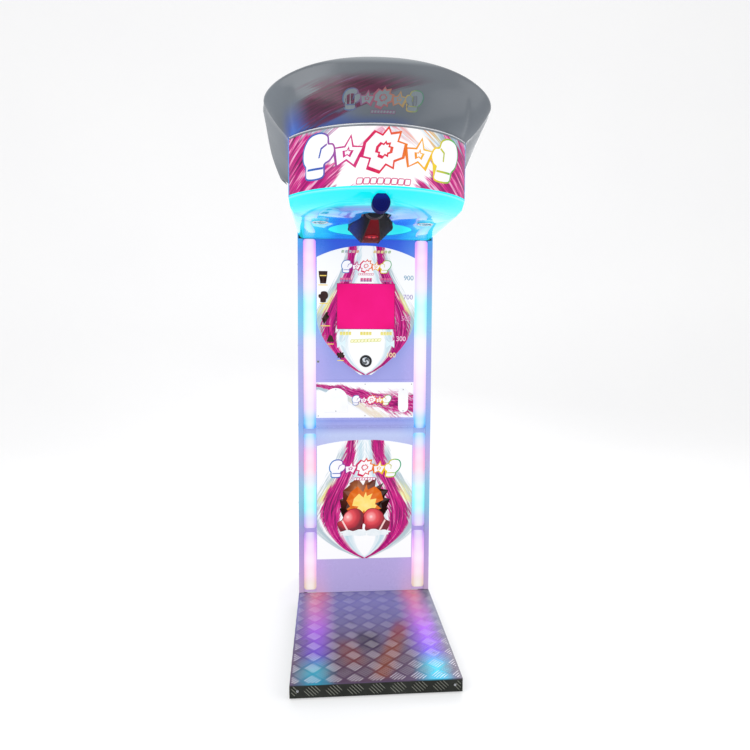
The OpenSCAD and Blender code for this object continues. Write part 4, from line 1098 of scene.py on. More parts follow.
FINISHES = [
    (("base_frame", "tower_frame", "head_frame"), steel_paint, ("#26272b",)),
    (("screen_bracket", "wheel_brackets"), metal, ("zinc", "#b4b6ba", 0.3)),
    (("platform_deck",), tread_steel, ()),
    (("head_roof",), steel_paint, ("#dcdde3",)),
    (("pivot_mount", "bag_swing_arm", "latch_hook", "wheel_axle", "door_hinge_pins"), metal,
     ("oiled", "#5b5f66", 0.32, 0.5)),
    (("sensor_dome",), dark_lens, ()),
    (("encoder_sensor", "power_supply", "power_inlet", "button_housing"), plastic,
     ("black", "#151518", 0.42)),
    (("game_board",), circuit, ()),
    (("bar_led_boards", "sign_led_board", "art_led_board"), led_board, ()),
    (("cash_box",), steel_paint, ("#2d2e33", 0.4)),
    (("score_panel",), panel_print, ("score", PRINT_HALF, 1.027, 1.576)),
    (("art_panel",), panel_print, ("art", PRINT_HALF, 0.204, 0.738)),
    (("console_panel",), console_print, ()),
    (("sign_panel",), sign_print, ()),
    (("screen",), screen_glow, ()),
    (("bag_pocket",), pocket_gloss, ()),
    (("sign_retainers",), retainer_gloss, ()),
    (("front_lock", "door_lock_cam"), metal, ("chrome", "#d8dade", 0.12)),
    (("power_rocker",), plastic, ("red", "#c01818", 0.25)),
    (("left_bar_channel", "right_bar_channel"), cabinet_glow, ("channel",)),
    (("downlights",), metal, ("trim", "#9fd3e2", 0.15)),
]


def finish_frame():
    """Gives the frame's own nodes their finishes."""
    for names, maker, args in FINISHES:
        material = finish(maker, *args)
        for name in names:
            node = NODES[name]
            for slot in node.material_slots:
                slot.material = material


def build_hood(detail):
    """The flared hood: a centre panel between two creases, and an ear at each side that
    runs back along the head. It keeps the CAD hood's root and rim."""
    roof, root_z = ROOF_Z, ROOF_Z + 0.0003
    reach = FRONT_Y - SIGN_END
    bow = SIGN_END - SIGN_FRONT
    half_deg = math.degrees(math.asin(HALF_W / SIGN_R))
    side_rise, top_rise = 0.101, 0.199
    half_w, rim_r, thick, turn = high("hood_shell").x + 0.0040, 0.017, 0.005, 0.7
    front = FRONT_Y - reach

    def past(s):
        """How far a section is past the turn, from 0 to 1, and its angle on the sign's arc."""
        return (max(0.0, (abs(s) - turn) / (1 - turn)),
                math.radians(half_deg * min(1, abs(s) / turn) * math.copysign(1, s)))

    def root(s):
        q, a = past(s)
        b = max(0.0, (q - 0.12) / 0.88)
        r = SIGN_R + 0.0015
        return Vector((r * math.sin(a) + (math.copysign(0.0003, s) if q > 0 else 0),
                       SIGN_CY - r * math.cos(a) + 0.262 * q, root_z - 0.094 * b ** 1.3))

    def rim(s):
        q = past(s)[0]
        a = math.pi / 2 * min(1, abs(s) / turn)
        side = math.copysign(1, s)
        if q > 0:
            return Vector((side * (half_w + 0.005 * math.sin(math.pi * q) - 0.028 * q ** 8),
                           front - 0.026 + 0.326 * math.sin(math.pi / 2 * q),
                           roof + side_rise - 0.09 * q - 0.063 * q ** 8))
        return Vector((side * half_w * math.sin(a) ** 0.92,
                       front - 0.026 - (bow - 0.036) * math.cos(a),
                       roof + side_rise + (top_rise - side_rise) * math.cos(a) ** 1.4))

    def section(s):
        p = root(s)
        q, a = past(s)
        near = min(1.0, q / 0.08)
        level = Vector((-math.sin(a) * (1 - near), math.cos(a) + (1 - math.cos(a)) * near, 0))
        level.normalize()
        span = rim(s) - p
        length = span.length
        out = span / length
        back = (level - level.dot(out) * out).normalized()
        flange = 0.026 * max(0.0, 1 - q / 0.08) + thick
        face, inside = [], []
        count = 14
        for i in range(count + 1):
            f = i / count
            crease = 0.64 - 0.27 * f
            beyond = (abs(s) - crease) / 0.05
            step = 1 / (1 + math.exp(-4 * beyond)) - 0.5
            fold = 0.006 * (step + 0.9 * math.exp(-beyond ** 2 * 3))
            fold *= math.sin(math.pi * min(1, f * 1.15)) ** 0.6 if 0 < f * 1.15 < 1 else 0
            bow_in = -rim_r * 0.5 * math.sin(math.pi * f)
            face.append((f * (length - rim_r), bow_in + fold))
            inside.append((f * (length - rim_r), thick + bow_in + fold))
        roll = [(length - rim_r + rim_r * math.cos(t), rim_r + rim_r * math.sin(t))
                for t in (math.radians(-90 + 15 * k) for k in range(1, 15))]
        inner = [(length - rim_r + (rim_r - thick) * math.cos(t),
                  rim_r + (rim_r - thick) * math.sin(t))
                 for t in (math.radians(120 - 17.5 * k) for k in range(13))]
        ring = [p + u * out + v * back for u, v in face + roll + inner + inside[:0:-1]]
        lift = p + thick * 1.2 * out
        ring.append(lift + thick * back)
        drop = (lift - p).z - thick * 1.2 * out.z
        ring.append(lift + (flange - thick * 1.2 * out.dot(level)) * level - Vector((0, 0, drop)))
        ring.append(p + flange * level)
        return ring

    sections = [section(k / detail) for k in range(-detail, detail + 1)]
    verts, faces = [v for ring in sections for v in ring], tube(len(sections), len(sections[0]))
    piece = mesh_piece("hood", verts, faces, finish(hood_gloss), slot="hood_plastic", smooth=50)
    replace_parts(piece, "hood_shell")
    emblem("hood_emblem", 0.0, roof + 0.066, 0.245, on_mesh(piece), curved=True, dim=True)


def build_bag(sizes):
    """The bag: eight panels between seams, filled by cloth simulation, then its piping,
    stitches, end cap and emblem."""
    start = PIVOT.y + 0.0683
    length = high("punch_bag").y - start
    radius = high("punch_bag").x
    panels, across, along = 8, 8, 52

    def reach(f):
        if f < 0.62:
            return 0.034 + (radius - 0.034) * math.sin(math.pi / 2 * f / 0.62)
        return radius * max(0.0, 1 - ((f - 0.62) / 0.38) ** 2.6) ** 0.5

    def at(r, angle, f):
        return Vector((r * math.cos(angle), start + f * length, PIVOT.z + r * math.sin(angle)))

    verts, pinned = [], []
    half = math.pi / panels
    steps = panels * across
    fs = [math.sin(math.pi / 2 * (0.004 + 0.990 * i / along)) for i in range(along + 1)]
    for i, f in enumerate(fs):
        for k in range(steps):
            panel, part = divmod(k, across)
            t = part / across * 2 - 1
            angle = half + 2 * half * panel + half * (t + 1)
            r = reach(f) * math.cos(half) / math.cos(half * t) * (0.985 + 0.008 * (1 - t * t))
            verts.append(at(r, angle, f))
            if part == 0 or i < 2 or i > along - 3:
                pinned.append(len(verts) - 1)
    faces = tube(along + 1, steps)[:-2]
    ends = (len(verts), len(verts) + 1)
    verts += [at(0, 0, 0), at(0, 0, 1)]
    for k in range(steps):
        n = (k + 1) % steps
        faces.append([ends[0], n, k])
        faces.append([ends[1], along * steps + k, along * steps + n])
    pinned += list(ends)
    bag = mesh_piece("bag_cover", verts, faces, finish(bag_leather), body="bag",
                     slot="bag_leather", smooth=180)
    filled(bag, pinned, sizes.bag_pressure, sizes.bag_cap)
    smoothed(bag)
    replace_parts(bag, "punch_bag")

    dark = finish(plastic, "piping", "#050506", 0.65)
    thread = finish(ink, "#8f1d26", "#5c1219")
    piping, stitches = Parts(), Parts()
    bead = turned([(0.0, -0.5), (0.5, -0.42), (0.5, 0.42), (0.0, 0.5)], 6)
    for panel in range(panels):
        angle = half + 2 * half * panel
        line = [at(reach(f) * 0.988, angle, f) for f in
                (math.sin(math.pi / 2 * (0.02 + 0.945 * i / 60)) for i in range(61))]
        piping.add(*swept(line, sizes.piping_radius, 8))
        for side in (-1, 1):
            for i in range(0, 60):
                a, b = line[i], line[i + 1]
                off = side * 0.0065
                r = math.hypot(a.x, a.z - PIVOT.z)
                if r < 0.03:
                    continue
                turn = off / r
                place = at(r * math.cos(half) / math.cos(half - abs(turn)) * 0.999, angle + turn,
                           ((a.y + b.y) / 2 - start) / length)
                direction = (b - a).normalized()
                grow = Matrix.Diagonal((0.0011, 0.0011, (b - a).length * 0.62, 1))
                stitches.add(*bead, Matrix.Translation(place)
                             @ Vector((0, 0, 1)).rotation_difference(direction).to_matrix().to_4x4()
                             @ grow)
    piping.piece("bag_piping", dark, body="bag", slot="bag_leather")
    stitches.piece("bag_stitches", thread, body="bag", slot="bag_leather")

    cap = Parts()
    rings = [(0.046, 0.0), (0.048, 0.0015), (0.046, 0.003), (0.036, 0.0036), (0.034, 0.0028),
             (0.012, 0.0044), (0.0, 0.0046)]
    end = start + length
    cap.add(*turned([(r, h - 0.0105 + 0.006 * (1 - r / 0.048)) for r, h in rings], 40, "Y"),
            Matrix.Translation((0, end, PIVOT.z)) @ Matrix.Rotation(math.pi, 4, "Z"))
    collar = [(0.030, -0.004), (0.0365, -0.004), (0.039, 0.002), (0.039, 0.012), (0.0375, 0.018),
              (0.030, 0.018)]
    cap.add(*turned(collar, 40, "Y"),
            Matrix.Translation((0, start + 0.004, PIVOT.z)) @ Matrix.Rotation(math.pi, 4, "Z"))
    cap.piece("bag_cap_and_collar", finish(plastic, "cap", "#17171b", 0.38), body="bag",
              slot="bag_leather")

    tree = BVHTree.FromPolygons([v.co for v in bag.data.vertices],
                                [p.vertices for p in bag.data.polygons])

    def laid(name, outlines, material, lift):
        form = filled_in(outlines, lambda p: (p.x, p.y, 0))
        front = thickened(form)
        for v in form.verts:
            hit = tree.ray_cast(Vector((v.co.x, v.co.y, PIVOT.z - 0.3)), Vector((0, 0, 1)))
            v.co.z = hit[0].z - (lift if v in front else lift - 0.0008)
        formed(name, form, material, "bag", "bag_leather", 30)

    y = start + 0.40 * length
    badge = [p + Vector((0, y)) for p in oval(0.024, 0.015, 40)]
    laid("bag_badge", [badge], finish(ink, "#d8323c", "#a81c28"), 0.0012)
    laid("bag_badge_centre", [[p + Vector((0, y)) for p in oval(0.0205, 0.0118, 40)]],
         finish(ink, "#2a0508", "#3d080d"), 0.0019)
    gloves = [placed(GLOVE, 0.0085 * s, y, 0.0155, 0.0, s > 0, 180) for s in (-1, 1)]
    laid("bag_badge_gloves", gloves, finish(ink, "#e04a50", "#c93038"), 0.0026)


def filled(piece, pinned, pressure, cap):
    """Fills a closed cover by cloth simulation. No point moves further than cap."""
    scene = bpy.context.scene
    mesh = piece.data
    before = np.zeros(len(mesh.vertices) * 3)
    mesh.vertices.foreach_get("co", before)
    before = before.reshape(-1, 3)
    group = piece.vertex_groups.new(name="seams")
    group.add(pinned, 1.0, "REPLACE")
    cloth = piece.modifiers.new("fill", "CLOTH")
    cloth.settings.quality = 6
    cloth.settings.use_pressure = True
    cloth.settings.uniform_pressure_force = pressure
    cloth.settings.effector_weights.gravity = 0.0
    cloth.settings.vertex_group_mass = group.name
    cloth.settings.tension_stiffness = 25
    cloth.settings.compression_stiffness = 25
    cloth.settings.bending_stiffness = 4
    for step in range(1, 21):
        scene.frame_set(step)
    settled = piece.evaluated_get(bpy.context.evaluated_depsgraph_get()).data
    after = np.zeros(len(mesh.vertices) * 3)
    settled.vertices.foreach_get("co", after)
    move = after.reshape(-1, 3) - before
    far = np.linalg.norm(move, axis=1, keepdims=True)
    move *= np.minimum(1.0, cap / np.maximum(far, 1e-9))
    piece.modifiers.remove(cloth)
    piece.vertex_groups.remove(group)
    mesh.vertices.foreach_set("co", (before + move).ravel())
    mesh.update()
    scene.frame_set(1)


def smoothed(piece):
    """One level of subdivision, applied."""
    soft = piece.modifiers.new("soft", "SUBSURF")
    soft.levels = soft.render_levels = 1
    bpy.context.view_layer.update()
    fine = bpy.data.meshes.new_from_object(
        piece.evaluated_get(bpy.context.evaluated_depsgraph_get()))
    piece.modifiers.remove(soft)
    old = piece.data
    fine.name = old.name + "_fine"
    piece.data = fine
    bpy.data.meshes.remove(old)


def build_deck(sizes):
    """Five raised bars to a group, with the groups turned one way and then the other, over
    the platform's top and its folded skirt."""
    pitch, long, thick = sizes.tread_pitch, sizes.tread_length / 2, 0.0015
    height = sizes.tread_height
    bars = (Parts(), Parts())

    def bar(parts, centre, along, normal, half_len):
        side = normal.cross(along)
        ring = ((1, 0), (0.72, 1), (-0.72, 1), (-1, 0), (-0.72, -1), (0.72, -1))
        verts = [centre + a * half_len * along + b * thick * side - 0.0003 * normal
                 for a, b in ring]
        verts += [centre + a * (half_len - 0.0016) * along + b * thick * 0.35 * side
                  + height * normal for a, b in ring]
        parts.add(verts, tube(2, len(ring)))

    def field(origin, u, v, size_u, size_v, normal, skip=0):
        nu, nv = round(size_u / pitch), max(1, round(2 * size_v / pitch))
        cu, cv = size_u / nu, size_v / nv
        for j in range(nv):
            sense = 1 if (j + skip) % 2 else -1
            along = (v - u * sense).normalized()
            across = normal.cross(along)
            for i in range(nu + 1):
                middle = (i + 0.5 * (j % 2)) * cu * u + (j + 0.5) * cv * v
                for k in range(-2, 3):
                    centre = middle + k * sizes.bar_pitch * across
                    start, stop = -long, long
                    for p, d, size in ((centre.dot(u), along.dot(u), size_u),
                                       (centre.dot(v), along.dot(v), size_v)):
                        a, b = sorted(((0.002 - p) / d, (size - 0.002 - p) / d))
                        start, stop = max(start, a), min(stop, b)
                    if stop - start > 0.008:
                        bar(bars[sense > 0], origin + centre + (start + stop) / 2 * along, along,
                            normal, (stop - start) / 2)

    (x0, y0, z0), (x1, y1, z1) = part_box("platform_deck")
    r = 0.003
    x, y, z = Vector((1, 0, 0)), Vector((0, 1, 0)), Vector((0, 0, 1))
    wide, deep, tall = x1 - x0 - 2 * r, y1 - y0 - 2 * r, z1 - z0 - 2 * r
    field(Vector((x0 + r, y0 + r, z1)), x, y, wide, deep, z)
    field(Vector((x0 + r, y0, z0 + r)), x, z, wide, tall, -y, 1)
    field(Vector((x1, y0 + r, z0 + r)), y, z, deep, tall, x, 1)
    field(Vector((x0, y1 - r, z0 + r)), -y, z, deep, tall, -x, 1)
    # The two groups of bars get lit and shaded copies of the tread finish: a high share of painted
    # highlight on one, a low share on the other.
    for parts, (_, side), highlight_share in zip(bars, SIDES, (0.9, 0.35)):
        parts.piece("tread_bars_" + side, finish(tread_steel, highlight_share), slot="tread_plate",
                    smooth=20)


def build_lights(sizes):
    """Six opal diffusers with rounded fronts."""
    tones = {
        "upper": ((0.0, "#3fb0ff"), (0.035, "#8fd8ff"), (0.12, "#f0dcfc"), (0.25, "#fbe6fb"),
                  (0.37, "#fdf2fc"), (0.47, "#f6f4fd"), (0.54, "#c9fbfd"), (0.66, "#b8fbfb"),
                  (0.76, "#f3eafc"), (0.9, "#fbd0fc"), (1.0, "#e9b9fb")),
        "middle": ((0.0, "#d9b6f2"), (0.08, "#d4cdf9"), (0.22, "#a4f8fc"), (0.40, "#bafdfe"),
                   (0.52, "#dfe3f6"), (0.64, "#fdc9e6"), (0.8, "#f7c4ee"), (0.92, "#c8d6fb"),
                   (1.0, "#8ddcfe")),
        "lower": ((0.0, "#e6d6c0"), (0.08, "#eed9cf"), (0.3, "#fbd3ec"), (0.55, "#fcdcfa"),
                  (0.8, "#f2c4fa"), (1.0, "#cdb0f2")),
    }
    for node in [f"{side}_{part}_bar" for side in ("left", "right") for part in tones]:
        a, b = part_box(node)
        outline = rounded(a.x, a.z, b.x, b.z, 0.012, 8)
        verts, faces = slab(outline, b.y, a.y, 0.0075, 6)
        piece = mesh_piece(node + "_diffuser", verts, faces,
                           finish(light_bar, a.z, b.z, *tones[node.split("_")[1]]),
                           slot="opal_diffuser", smooth=40)
        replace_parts(piece, node)


def build_shells():
    """The formed plastic and folded steel shells, with their edges rounded."""
    glow = finish(cabinet_glow, "moulding")
    for node in ("upper_moulding", "console_moulding", "lower_moulding"):
        softened(node, 0.0016, glow, "moulding", angle=50 if node == "console_moulding" else 35)
    flange = finish(cabinet_glow, "flange")
    for node in ("left_side_panel", "right_side_panel"):
        softened(node, 0.0011, flange, "cabinet_paint")
    softened("head_tray", 0.0012, finish(tray_gloss), "head_tray", angle=50)
    paint = finish(steel_paint, "#b9b2dc", 0.28)
    softened("back_panel", 0.0007, paint, "cabinet_paint")


def build_score_graphics():
    """The score panel's printed emblem, coloured labels, numerals and pictograms."""
    face = on_flat(SHIELD_Y)
    emblem("score_emblem", 0.0, 1.487, 0.215, face)
    cool = ("#1f9a8c", "#2e86c8", "#5d62b5", "#c0307e", "#d64a4a")
    warm = ("#e8b02a", "#e8882a", "#d8c22a", "#6fb53f", "#2f9d62")
    tag = rounded(-0.5, -0.5, 0.5, 0.5, 0.2, 3)
    for (side, name), row in zip(SIDES, (cool, warm)):
        for k, tone in enumerate(row):
            x = side * 0.068 + (k - 2) * 0.0155
            decal(f"top_tag_{name}_{k}", [placed(tag, x, 1.549, 0.0115, 0.25)],
                  finish(ink, tone, "#e8e2c8", 160.0), face)
    rows = (("#d0427c", "#e886b0", 1.434, 0.0048), ("#b8487c", "#8896c8", 1.427, 0.0036),
            ("#e3cf4a", "#f2e89a", 1.207, 0.0042), ("#e6dc5a", "#f4ee9c", 1.200, 0.0030))
    for j, (one, two, z, height) in enumerate(rows):
        shapes = [[Vector((cx + (k - 1.5) * 0.0125 + a * 0.0053 + b * 0.12 * height,
                           z + b * height)) for a, b in SQUARE]
                  for cx in (-0.087, 0.0, 0.087) for k in range(4)]
        decal(f"label_row_{j}", shapes, finish(ink, one, two, 12.0), face)
    bars = [placed(tag, (k - 4) * 0.0145, 1.174 + 0.0006 * (k - 4), 0.0118, 0.3)
            for k in range(9)]
    decal("round_tabs_edge", [grown(b, 0.0014) for b in bars],
          finish(ink, "#f0d83a", "#9fcf4a", 40.0), face)
    decal("round_tabs", bars, finish(ink, "#fbf7c4", "#fdfbe6"), face, lift=0.0006)
    for side, name in SIDES:
        decal("flare_" + name, [placed(star(4, 0.07, 45), side * 0.105, 1.160, 0.050),
                                placed(oval(0.5, 0.5), side * 0.105, 1.160, 0.012)],
              finish(ink, "#f4fcff", "#d6f2fb"), face, lift=0.0003)
    dark = finish(ink, "#1b1214", "#4a2f2a", 50.0)
    gold = finish(ink, "#f2c43a", "#f7e08a", 60.0)
    cup = [(-0.36, 0.5), (0.36, 0.5), (0.34, 0.18), (0.2, -0.02), (0.07, -0.1), (0.07, -0.3),
           (0.24, -0.36), (0.24, -0.5), (-0.24, -0.5), (-0.24, -0.36), (-0.07, -0.3),
           (-0.07, -0.1), (-0.2, -0.02), (-0.34, 0.18)]
    bolt = [(0.05, 0.5), (-0.3, -0.06), (-0.04, -0.06), (-0.12, -0.5), (0.32, 0.12), (0.05, 0.12),
            (0.28, 0.5)]
    bell = [(-0.44, -0.34), (0.44, -0.34), (0.3, -0.12), (0.26, 0.2), (0.1, 0.42), (-0.1, 0.42),
            (-0.26, 0.2), (-0.3, -0.12)]
    numbers = (("900", 0.182, 1.440, "#8fb7cc", "#6f9cc0", [Vector(p) for p in cup], 0.052),
               ("700", 0.180, 1.359, "#b9a3cf", "#8f8fc4", GLOVE, 0.046),
               ("500", 0.172, 1.268, "#e3a3c8", "#d77fb4", [Vector(p) for p in bolt], 0.052),
               ("300", 0.151, 1.181, "#fbeef6", "#f2b7d8", loop_through(bell, 4), 0.036),
               ("100", 0.108, 1.111, "#fdf4d0", "#f6cf8a", star(8, 0.28), 0.036))
    for text, x, z, one, two, _, _ in numbers:
        figures(f"figures_{text}", text, x, z, 0.0205, finish(ink, one, two, 60.0),
                SHIELD_Y - 0.0001)
    line = rounded(-0.5, -0.5, 0.5, 0.5, 0.3, 3)
    for _, x, z, _, _, outline, size in numbers:
        name = f"pictogram_{int(z * 1000)}"
        decal(name, [placed(outline, -x, z, size)], dark, face)
        bar = [Vector((-x + p.x * size * 0.8, z - size * 0.62 + p.y * 0.004)) for p in line]
        decal(name + "_bar", [bar], gold, face, lift=0.0002)
    band = [Vector((-0.182 + a * 0.014, 1.447 + b * 0.0022)) for a, b in SQUARE]
    decal("pictogram_cup_band", [band], gold, face, lift=0.0006)
    w, h, cz = *SCREEN_HALF, centre_of("screen").z
    loop = [Vector((p.x, SHIELD_Y + 0.0016, p.y)) for p in rounded(-w, cz - h, w, cz + h, 0.002, 4)]
    mesh_piece("screen_gasket", *swept(loop, 0.0014, 8, closed=True),
               finish(plastic, "gasket", "#2a0a1c", 0.35), slot="black_plastic")


def build_start_button():
    """A chrome bezel and a clear domed cap over a grey swirl."""
    cz, base = centre_of("button_cap").z, low("button_housing").y + 0.004
    ring = [(0.0222, 0.0), (0.0222, 0.0020), (0.0230, 0.0034), (0.0246, 0.0040), (0.0258, 0.0030),
            (0.0262, 0.0012), (0.0262, 0.0), (0.0262, -0.001), (0.0222, -0.001)]
    verts, faces = turned(ring, 56, "Y", closed=True)
    mesh_piece("start_bezel", [Vector((v.x, base + v.y, v.z + cz)) for v in verts], faces,
               finish(metal, "bezel", "#8d9096", 0.18), slot="chrome")
    cap_face = low("button_cap").y
    dome = [(0.0, 0.0), (0.006, -0.0002), (0.012, -0.0009), (0.0165, -0.0022), (0.0195, -0.0045),
            (0.0200, -0.0065), (0.0200, -0.030), (0.0, -0.030)]
    verts, faces = turned(dome, 48, "Y")
    cap = mesh_piece("start_cap", [Vector((v.x, cap_face + abs(v.y), v.z + cz)) for v in verts],
                     faces, finish(swirl_cap, cz), body="start_button", slot="button_cap",
                     smooth=40)
    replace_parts(cap, "button_cap")


def swirl_cap(cz):
    """The start button's grey swirl under clear plastic."""
    fin = Finish("swirl_cap", Coat_Roughness=0.02)
    x, _, z = fin.xyz
    dz = z - cz
    angle = fin.math("ARCTAN2", dz, x)
    r = (x * x + dz * dz).op("SQRT") / 0.02
    arms = (angle * 2.0 + r * 5.0).sin() * r.rise(0.9, 0.75)
    base = fin.mix(arms.rise(0.1, 0.4), "#3f444b", "#c9ccd2")
    base = fin.mix(r.rise(0.78, 0.84) * r.rise(1.0, 0.95), base, "#23262b")
    return fin.set(base=base, coat=1.0, rough=0.12 + 0.1 * fin.noise(120.0))


def pan_head(radius, height):
    """A pan-head screw's outline with a round recess."""
    return [(radius, 0.0), (radius, height * 0.35), (radius * 0.86, height * 0.8),
            (radius * 0.6, height), (radius * 0.45, height), (radius * 0.42, height * 0.4),
            (0.0, height * 0.35)]


def build_fittings():
    """Cover plates with rounded edges, pan-head screws and the trim rings of the downlights."""
    plate = finish(plastic, "cover", "#f7f7fa", 0.22, 0.00005)
    y_back, y_front = high("note_cover").y, low("note_cover").y
    a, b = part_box("note_cover")
    r = (b.x - a.x) / 2
    arch = [Vector((a.x + 0.006, a.z)), Vector((b.x - 0.006, a.z)),
            Vector((b.x - 0.002, a.z + 0.002)), Vector((b.x, a.z + 0.006))]
    arch += [Vector(((a.x + b.x) / 2 + r * math.cos(math.radians(t)),
                     b.z - r + r * math.sin(math.radians(t)))) for t in range(0, 181, 6)]
    arch += [Vector((a.x, a.z + 0.006)), Vector((a.x + 0.002, a.z + 0.002))]
    verts, faces = slab(arch, y_back, y_front, 0.0008, 3)
    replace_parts(mesh_piece("arch_plate", verts, faces, plate, slot="white_paint"), "note_cover")
    a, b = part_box("coin_cover")
    verts, faces = slab(rounded(a.x, a.z, b.x, b.z, (b.x - a.x) / 2 - 0.0001, 12), y_back, y_front,
                        0.0008, 3)
    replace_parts(mesh_piece("pill_plate", verts, faces, plate, slot="white_paint"), "coin_cover")

    zinc = finish(metal, "screw", "#b9bbc0", 0.25)
    heads = Parts()
    z0, z1 = low("console_panel").z + 0.0087, high("console_panel").z - 0.0085
    columns = (low("console_screws").x + 0.0026, 0.0, high("console_screws").x - 0.0026)
    spots = [(x, FRONT_Y + 0.0002, z) for x in columns for z in (z0, z1)]
    for node in ("note_cover", "coin_cover"):
        p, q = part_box(node)
        spots += [((p.x + q.x) / 2, y_front, z) for z in (p.z + 0.007, q.z - 0.007)]
    for x, y, z in spots:
        heads.add(*turned(pan_head(0.0027, 0.0015), 20, "Y"), Matrix.Translation((x, y, z)))
    piece = heads.piece("console_screw_heads", zinc, slot="zinc", smooth=30)
    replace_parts(piece, "console_screws")

    bolts = Parts()
    groups = []
    for v in NODES["deck_screws"].data.vertices:
        if not any((v.co - points[0]).length < 0.02 for points in groups):
            groups.append([v.co.copy()])
    for v in NODES["deck_screws"].data.vertices:
        min(groups, key=lambda points: (v.co - points[0]).length).append(v.co.copy())
    for points in groups:
        lo = Vector([min(p[k] for p in points) for k in range(3)])
        hi = Vector([max(p[k] for p in points) for k in range(3)])
        mid, size = (lo + hi) / 2, hi - lo
        if size.y < size.x:
            place = Matrix.Translation((mid.x, hi.y, mid.z))
            bolts.add(*turned(pan_head(size.x / 2, size.y), 24, "Y"), place)
        else:
            side = 1 if mid.x > 0 else -1
            place = Matrix.Translation((lo.x if side > 0 else hi.x, mid.y, mid.z)) \
                @ Matrix.Diagonal((side, 1, 1, 1))
            bolts.add(*turned(pan_head(size.y / 2, size.x), 24, "X"), place)
    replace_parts(bolts.piece("deck_bolt_heads", zinc, slot="zinc", smooth=30), "deck_screws")

    rings = Parts()
    for side in (-1, 1):
        a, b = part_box("downlights")
        r = (b.y - a.y) / 2
        x = side * (b.x - r)
        ring = [(r - 0.0085, -0.0004), (r - 0.0075, 0.0008), (r - 0.0055, 0.0012),
                (r - 0.0040, 0.0009), (r - 0.0030, -0.0004)]
        rings.add(*turned(ring, 48, closed=True), Matrix.Translation((x, (a.y + b.y) / 2, a.z))
                  @ Matrix.Diagonal((1, 1, -1, 1)))
    rings.piece("downlight_rings", finish(metal, "ring", "#e6f4f8", 0.1), slot="downlight")


def build_lower_art():
    """The lower panel's emblem, and a burst over two gloves."""
    face = on_flat(low("art_panel").y)
    emblem("art_emblem", 0.0, 0.612, 0.32, face)
    bursts = ((star(17, 0.33), 0.462, 0.225, finish(burst_ink, 0.0, 0.47, 0.12)),
              (star(13, 0.29), 0.458, 0.165, finish(ink, "#d8571f", "#ee8a2e")),
              (star(11, 0.26), 0.452, 0.110, finish(ink, "#ffd23c", "#fff0a8")))
    for k, (shape, z, size, material) in enumerate(bursts):
        decal(f"burst_{k}", [placed(shape, 0.0, z, size, 0.1)], material, face,
              lift=0.0001 + 0.00012 * k)
    cuff = [Vector(p) for p in ((-0.29, -0.33), (0.21, -0.33), (0.22, -0.27), (-0.27, -0.27))]
    for side, name in SIDES:
        cx, cz = side * 0.052 - 0.004, 0.372
        glove, band = (placed(o, cx, cz, 0.118, 0.0, side < 0, side * 62) for o in (GLOVE, cuff))
        decal("glove_edge_" + name, [grown(glove, 0.003)], finish(ink, "#7a1020", "#a01c30"),
              face, lift=0.0007)
        decal("glove_" + name, [glove], finish(glove_ink, cx, cz, 0.062), face, lift=0.0012)
        decal("glove_cuff_" + name, [band], finish(ink, "#ffe9e6", "#f6b7b4"), face, lift=0.0017)
    clouds = [Vector((0.022 * math.cos(a) * (1 + 0.25 * math.sin(5 * a)), 0.010 * math.sin(a)))
              for a in (math.tau * k / 48 for k in range(48))]
    spots = ((-0.075, 1.3), (-0.02, 1.5), (0.04, 1.6), (0.085, 1.2))
    decal("mist", [placed(clouds, x, 0.322, size) for x, size in spots],
          finish(ink, "#dfe9ef", "#f8fbfd", 50.0), face, lift=0.0022)


def burst_ink(cx, cz, r):
    """Brown print, lighter at its upper left."""
    fin = Finish("brown_ink")
    x, _, z = fin.xyz
    dx, dz = (x - cx + r * 0.25) / r, (z - cz - r * 0.45) / r
    away = (dx * dx + dz * dz).op("SQRT") + (fin.noise(30.0, detail=3) - 0.5) * 0.3
    tint = away.ramp([(0.0, "#b9744a"), (0.3, "#8a4a30"), (0.6, "#5e2c22"),
                      (1.0, "#2a1412")])
    return fin.lit(tint, look().print_light, rough=0.3 + 0.1 * fin.noise(60.0))


def build_undercarriage():
    """Levelling feet with threaded stems and lock nuts, and the two transport wheels."""
    feet = Parts()
    a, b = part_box("levelling_feet")
    r = 0.018
    pad = [(0.0, 0.0), (r, 0.0), (r, 0.0035), (r * 0.9, 0.005), (r * 0.5, 0.0065), (0.0048, 0.0075)]
    thread = [p for z in (0.0078 + 0.0009 * k for k in range(6))
              for p in ((0.0046, z), (0.0040, z + 0.00045))]
    for x in (-1, 1):
        for y in (a.y + r, b.y - r):
            move = Matrix.Translation((x * (b.x - r), y, 0.0))
            feet.add(*turned(pad + thread + [(0.0, 0.0130)], 32), move)
            nut = turned([(0.0, 0.0085), (0.0070, 0.0085), (0.0085, 0.0092), (0.0085, 0.0122),
                          (0.0070, 0.0129), (0.0, 0.0129)], 6)
            feet.add(*nut, move)
    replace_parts(feet.piece("feet", finish(rubber), slot="rubber"), "levelling_feet")
    for _, side in SIDES:
        build_wheel(side + "_wheel", side)


def spoke(t):
    """The directions out from a wheel's axle and along its rim, at an angle."""
    return Vector((0, math.cos(t), math.sin(t))), Vector((0, -math.sin(t), math.cos(t)))


